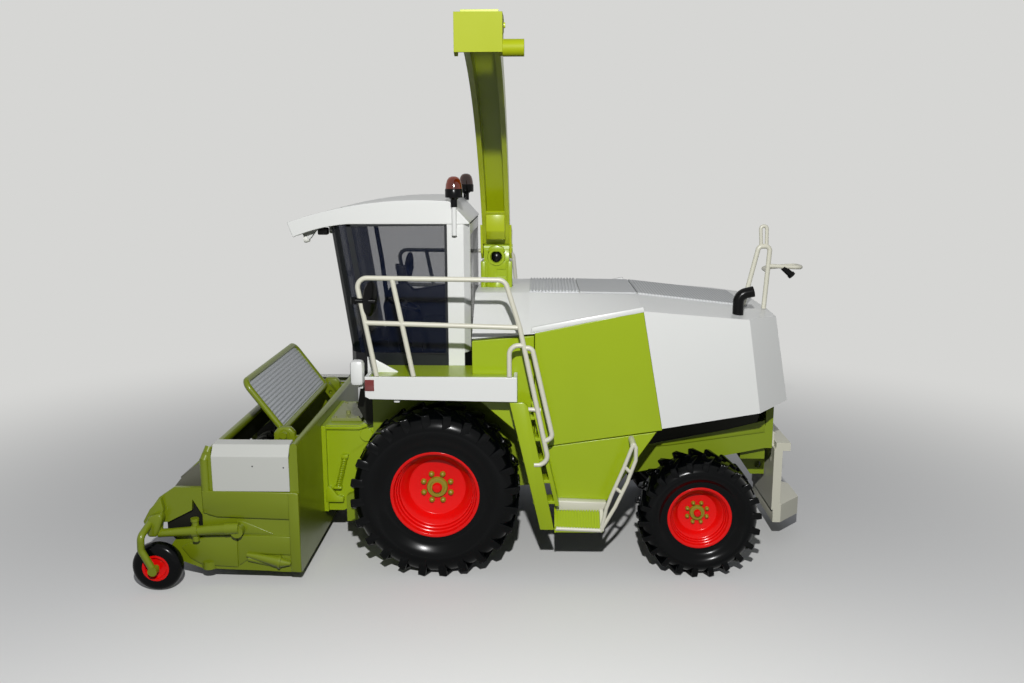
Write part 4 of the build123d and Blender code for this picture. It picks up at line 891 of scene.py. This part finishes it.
# %% Seals, door panel and console
SEAL_INNER, SEAL_OUTER = 25.15, 25.5
SEALS = (
    ((30.6, 116.3), (28.9, 116.3), (26.3, 100), (23.2, 70.6), (24.9, 70.6), (28.1, 100)),
    ((30.8, 116.9), (-3.3, 117), (-3.3, 115.9), (30.5, 115.6)),
    ((-2.6, 116), (-3.4, 116), (-3.4, 71), (-2.6, 71)))
door_panel = ((23.6, 72.7), (-3.4, 71.6), (-3.4, 66.4), (22.6, 66.4))
rows = [(outline, SEAL_INNER, SEAL_OUTER) for outline in SEALS]
rows.append((door_panel, SEAL_INNER + 0.05, SEAL_OUTER + 0.05))
plates_piece("door_seals", rows, seal_rubber, "machine")
form = bmesh.new()
console = ((-2.4, 66.4), (24, 66.4), (26, 82), (23.4, 89), (17, 91.6), (14, 88.4), (-2.4, 91))
screen = ((15.8, 88), (19.6, 88), (20.8, 97.6), (17.2, 97))
add_plate(form, "side", console, -21, -17.4, edge=0.8)
add_plate(form, "side", screen, -20.4, -18.2, edge=0.5)
finish_piece("cab_console", form, smoke_black, "machine")

# %% Lamps, gussets and reflectors
form = bmesh.new()
for _, sign in SIDES:
    add_block(form, at(24.9, sign * 42.2, 69.4), (4.4, 4.2, 8.4), edge=1.3)
    add_block(form, at(24.2, sign * 40.6, 65.4), (1.6, 1.6, 3.4), edge=0.3)
    add_block(form, at(11.7, sign * 44.4, 61.6), (2, 2.6, 3), edge=0.4)
add_both(form, ((22.6, 73.4), (21, 73), (12.5, 68.4), (12.5, 67), (22.6, 67)), 35.6, 36.4, edge=0.2)
add_both(form, ((41, 114.6), (46.4, 113.2), (45.4, 110.8), (43.8, 111)), 18.7, 21.3, edge=0.3)
stand_in("platform_lamps_and_gussets", form, white_abs, "machine", "head_lamps")
reflector = ((18.7, 64.4), (21.7, 64.4), (21.7, 68.1), (18.7, 68.1))
plates_piece("skirt_reflectors", [(reflector, 46.8, 47.3, 0.15)], red_lens, "machine")
VISOR_Y = 20.0
VISOR_LAMP = ((-0.9, AXIS_POINT), (-0.9, 1.1), (0.2, 1.5), (0.9, 1.4), (1, 0.9), (1, AXIS_POINT))
form = bmesh.new()
for _, sign in SIDES:
    add_turned(form, VISOR_LAMP, (45, sign * VISOR_Y, 111.2), axis="x", steps=28)
finish_piece("visor_lamps", form, white_lens, "machine", smooth=50)

# %% Mirrors and the boxes under the visor
MIRROR = ((-0.7, AXIS_POINT), (-0.6, 2), (0, 2.9), (0.5, 2.75), (0.5, AXIS_POINT))


def add_mirror(form, sign):
    """A turned dish, drawn out to an oval and leaned back beside the railing."""
    dish = bmesh.new()
    add_turned(dish, MIRROR, (0, 0, 0), axis="x", steps=36)
    bmesh.ops.translate(dish, vec=-machine_zero, verts=dish.verts)
    bmesh.ops.scale(dish, vec=(1, 1, 2), verts=dish.verts)
    lean = Matrix.Rotation(math.radians(-sign * 42), 4, "Z") @ Matrix.Rotation(math.radians(-7), 4, "Y")
    bmesh.ops.transform(dish, matrix=Matrix.Translation(at(19.2, sign * 46.2, 94.3)) @ lean,
                        verts=dish.verts)
    held = bpy.data.meshes.new("mirror_dish")
    dish.to_mesh(held)
    form.from_mesh(held)
    dish.free()
    bpy.data.meshes.remove(held)


form = bmesh.new()
for _, sign in SIDES:
    add_block(form, at(39.3, sign * VISOR_Y, 113.7), (3.5, 2.8, 2.4), edge=0.4)
    add_rod(form, (24, sign * 47.2, 93.9), (17.6, sign * 46.6, 93.6), 0.8)
    add_rod(form, (24.3, sign * 47.2, 92.8), (24.3, sign * 47.2, 95), 0.95)
    add_mirror(form, sign)
stand_in("mirrors_and_visor_boxes", form, black_abs, "machine", "mirrors", smooth=50)
print("cab dressed")

# %% [markdown]
# ## Hood
# A bright strip trims the upper edge of the lime side panels. The air grille is a row of thin ribs over its
# own plate. Black plates of painted shade fill the shaded gap above the frame and the one inside the front
# wheels, and the frame's upper edge shows as a painted strip.

# %% Hood trim and grille
GRILLE_RIBS = 15
strip = ((-31.6, 82), (-68.8, 89), (-68.2, 90.8), (-32, 84))
plates_piece("hood_trim", [(strip, 37.8, 39.2, 0.5)], white_abs, "machine")
form = bmesh.new()
grille_plate = ((-48, -17.8), (-31, -17.8), (-31, 17.8), (-48, 17.8))
add_plate(form, "level", grille_plate, 92.2, 92.7)
for rib in range(GRILLE_RIBS):
    add_block(form, at(-47.4 + 1.135 * rib, 0, 92.85), (0.55, 35, 0.5), edge=0.1)
stand_in("ribbed_air_grille", form, grille_grey, "machine", "air_grille")
print("ribs in the air grille:", GRILLE_RIBS)

# %% Plates of painted shade, and the frame's edges
# black plates of painted shade, in the gap above the frame and inside the front wheels
frame_gap_shade = ((-64, 37), (-72, 39.2), (-110, 45.4), (-113, 58), (-64, 58))
shade_apron = ((14, 66), (27, 66), (29.5, 52), (26, 45.5), (14, 47))
plates_piece("frame_shields", [(frame_gap_shade, 21.6, 21.9), (shade_apron, 20.4, 20.8)], trough_black, "machine")
frame_edge = ((-64, 37.5), (-84, 41.6), (-100, 44.8), (-110, 47.4), (-113.3, 48.3), (-113.3, 44),
              (-100, 42), (-80, 39))
plates_piece("frame_top_edges", [(frame_edge, 21.7, 22.1, 0.15)], chassis_enamel, "machine")
print("hood dressed")

# %% [markdown]
# ## Ladder and lower step
# The boarding ladder has one wide front string, a narrow rear one and ribbed treads. The step below the
# panel is a ribbed lime tread in a cream frame, held by a cream strut of two bars with rungs between them
# and a pin at its top. A short cream link joins the ladder to its handrail.

# %% Ladder
STRING_TOP, STRING_FOOT = (-24.9, 60.6), (-35, 17.2)
TREADS, TREAD_PITCH, TREAD_Y = 5, 7.2, 42.3
slope = (STRING_TOP[0] - STRING_FOOT[0]) / (STRING_TOP[1] - STRING_FOOT[1])
front_string = (STRING_TOP, (-29.6, 60.6), (-30.9, 59.4), (-39.6, 17.2), STRING_FOOT)
rear_string = ((-31.8, 60.6), (-33.2, 60.6), (-41.3, 25), (-39.9, 25))
form = bmesh.new()
add_plate(form, "side", front_string, 45.4, 46.8, edge=0.3)
add_plate(form, "side", rear_string, 39.2, 45.4, edge=0.2)
for tread in range(TREADS):
    z = 25.8 + TREAD_PITCH * tread
    x = STRING_FOOT[0] + slope * (z - STRING_FOOT[1])
    add_block(form, at(x - 3.2, TREAD_Y, z + 0.5), (7.2, 6.2, 1.1), edge=0.15)
    for rib in range(4):
        add_block(form, at(x - 5.6 + 1.6 * rib, TREAD_Y, z + 1.15), (0.5, 5.6, 0.35), edge=0.08)
stand_in("boarding_ladder", form, lime_enamel, "machine", "ladder")
print("treads in the ladder:", TREADS)

# %% Step tread
STEP_RIBS = 17
step_rib = ((41.2, 22.9), (46.5, 18.1), (46.5, 17), (41.2, 21.6))
step_plate = ((40.8, 22.3), (46.6, 17.4), (46.6, 16.4), (40.8, 21))
step_end = ((38.4, 25), (42, 23.4), (46.9, 18.6), (46.9, 16.4), (38.4, 21))
form = bmesh.new()
for rib in range(STEP_RIBS):
    x = -55.4 + 0.93 * rib
    add_plate(form, "cross", step_rib, x, x + 0.5)
add_plate(form, "cross", step_plate, -55.6, -39.9)
add_plate(form, "cross", step_end, -40.3, -39.7)
stand_in("ribbed_step_tread", form, lime_enamel, "machine", "lower_step")
print("ribs on the step:", STEP_RIBS)

# %% Step frame and strut
STRUT_FACE, BAR_RADIUS = 46.3, 0.65
strut = [(-55.2, 17.2), (-59.6, 25.2), (-63.4, 33.7), (-66, 41.3), (-66, 45.6), (-65.3, 46.6),
         (-64.6, 45.4), (-62.2, 38.7), (-58.4, 29.4), (-56.7, 24.6), (-55.2, 17.2)]
rungs = (((-61.8, 30), (-59.5, 32)), ((-64.6, 37), (-62.4, 39.2)))
form = bmesh.new()
back_lip = ((-40, 25.6), (-57.2, 25), (-56, 21.6), (-40.2, 22))
side_lip = ((41, 23.2), (46.9, 18.5), (46.9, 16.9), (41, 21.6))
add_plate(form, "side", back_lip, 38.4, 41.7, edge=0.4)
add_plate(form, "cross", side_lip, -56.1, -54.8, edge=0.15)
add_rod(form, (-40, 46.2, 17.5), (-55.4, 46.2, 17), 0.75)
for (x0, z0), (x1, z1) in zip(strut, strut[1:]):
    add_rod(form, (x0, STRUT_FACE, z0), (x1, STRUT_FACE, z1), BAR_RADIUS)
    bmesh.ops.create_uvsphere(form, u_segments=12, v_segments=8, radius=BAR_RADIUS * MM,
                              matrix=Matrix.Translation(at(x1, STRUT_FACE, z1)))
for (x0, z0), (x1, z1) in rungs:
    add_rod(form, (x0, STRUT_FACE, z0), (x1, STRUT_FACE, z1), 0.6)
add_rod(form, (-65.2, 38.4, 46.3), (-65.2, 46.4, 46.3), 1)
add_rod(form, (-30.4, 45.9, 58.3), (-35, 45.9, 58), 0.7)
finish_piece("step_frame_and_strut", form, cream_abs, "machine", smooth=50)
print("ladder and step made")

# %% [markdown]
# ## Spout foot
# Two side flanges, an arched boss plate, a ring and a black screw dress the turret, and a flat cover closes
# the boom's foot. They are thin plates and turned rings on the turret's face, below the boom, so the boom
# can still lift.

# %% Turret flanges, boss and screw
SCREW = (-19.1, 0, 103.4)
panel = ((-15.9, 91.4), (-22.5, 91.4), (-22.5, 96.4), (-19.3, 96.4), (-19.3, 98.9), (-22.5, 98.9),
         (-22.5, 102), (-15.9, 102))
arch = ((-15.9, 105.2), (-22.3, 105.2), (-21.6, 106.9), (-19.1, 107.7), (-16.6, 106.9))
form = bmesh.new()
for x0, x1 in ((-15.3, -13.5), (-24.7, -22.9)):
    add_plate(form, "side", ((x0, 92), (x1, 92), (x1, 101.8), (x0, 101.8)), 3.8, 5.4, edge=0.3)
add_plate(form, "side", panel, 4.4, 5, edge=0.15)
add_turned(form, [(4.9, 3.2), (5.7, 3), (5.7, 2.2), (5, 2)], SCREW, steps=40, closed=True)
add_plate(form, "side", arch, 4.4, 5.5, edge=0.3)
finish_piece("turret_relief", form, lime_enamel, "spout_mount")
form = bmesh.new()
add_turned(form, [(4.8, AXIS_POINT), (4.8, 1.9), (5.9, 1.8), (6.3, 1.3), (6.4, AXIS_POINT)], SCREW,
           steps=32)
finish_piece("turret_screw", form, black_abs, "spout_mount", smooth=50)
form = bmesh.new()
cover = ((5.3, 109.4), (9.8, 110), (11.9, 113), (12.2, 118.8), (11.4, 118.6))
add_plate(form, "cross", cover, -22.4, -15.8, edge=0.3)
finish_piece("boom_cover", form, boom_enamel, "spout")
print("spout foot dressed")

# %% [markdown]
# ## Rear
# The lamp hangs from the rear rail: a black cup with a rim, made of two short rods along its slanting axis.

# %% Rear lamp
form = bmesh.new()
add_rod(form, (-117, 20, 101.4), (-119.9, 20, 99), 0.9, tip=1.1)
add_rod(form, (-119.7, 20, 99.2), (-120.3, 20, 98.6), 1.3)
stand_in("rear_work_lamp", form, black_abs, "machine", "rear_lamp")
print("rear lamp made")

# %% [markdown]
# ## Floor, backdrop and light
# A plain pale floor and backdrop. The light is one small flash 10 cm above the camera: near enough that
# the spout's tip is brighter than the wheels, and small enough for sharp shadows behind rails and edges. An
# even sky fills them. The floor takes the shadows round the model and fades into the backdrop's own colour
# with distance, so that no horizon shows; that paleness is only for what the camera sees.


# %% Floor
def where_seen(tree):
    """1 for the camera and in gloss or glass, 0 for the light that bounces."""
    rays = node(tree, "LightPath", {}).outputs
    first = maths(tree, "MAXIMUM", rays["Is Camera Ray"], rays["Is Glossy Ray"])
    return maths(tree, "MAXIMUM", first, rays["Is Transmission Ray"])


BACKDROP = "D6D6D4"
FADE_START, FADE_END = 80 * MM, 390 * MM  # distance over which the floor turns into the backdrop
floor_form = bmesh.new()
bmesh.ops.create_grid(floor_form, x_segments=1, y_segments=1, size=40.0)
floor_mesh = bpy.data.meshes.new("floor")
floor_form.to_mesh(floor_mesh)
floor_form.free()
floor = new_object("floor", floor_mesh)
floor_finish, tree = new_finish("studio_floor")
seen = where_seen(tree)
reach = node(tree, "VectorMath", {0: object_place(tree)}, operation="LENGTH").outputs["Value"]
far = node(tree, "MapRange", {"Value": reach, "From Min": FADE_START, "From Max": FADE_END},
           interpolation_type="SMOOTHSTEP").outputs["Result"]
near_colour = blend(tree, seen, "3A4030", "E4E4E2")
glow = maths(tree, "MULTIPLY", far, seen)
dress(tree, Base_Color=blend(tree, far, near_colour, "000000"), Emission_Color=linear(BACKDROP),
      Emission_Strength=glow, Roughness=0.8, Specular_IOR_Level=0.0)
floor_mesh.materials.append(floor_finish)
print("floor fades from", FADE_START, "to", FADE_END, "m")

# %% Sky and flash
world = bpy.data.worlds.new("studio")
world.use_nodes = True
bpy.context.scene.world = world
sky = world.node_tree
sky.links.new(blend(sky, where_seen(sky), "6A6C72", BACKDROP), sky.nodes["Background"].inputs["Color"])
sky.nodes["Background"].inputs["Strength"].default_value = 1.0
flash = new_object("flash", bpy.data.lights.new("flash", "POINT"))
flash.data.energy, flash.data.shadow_soft_size = 4.9, 4 * MM
flash.location = at(-34, 345, 239)
print("flash above the camera, mm:", round((flash.location - camera.location).z / MM))
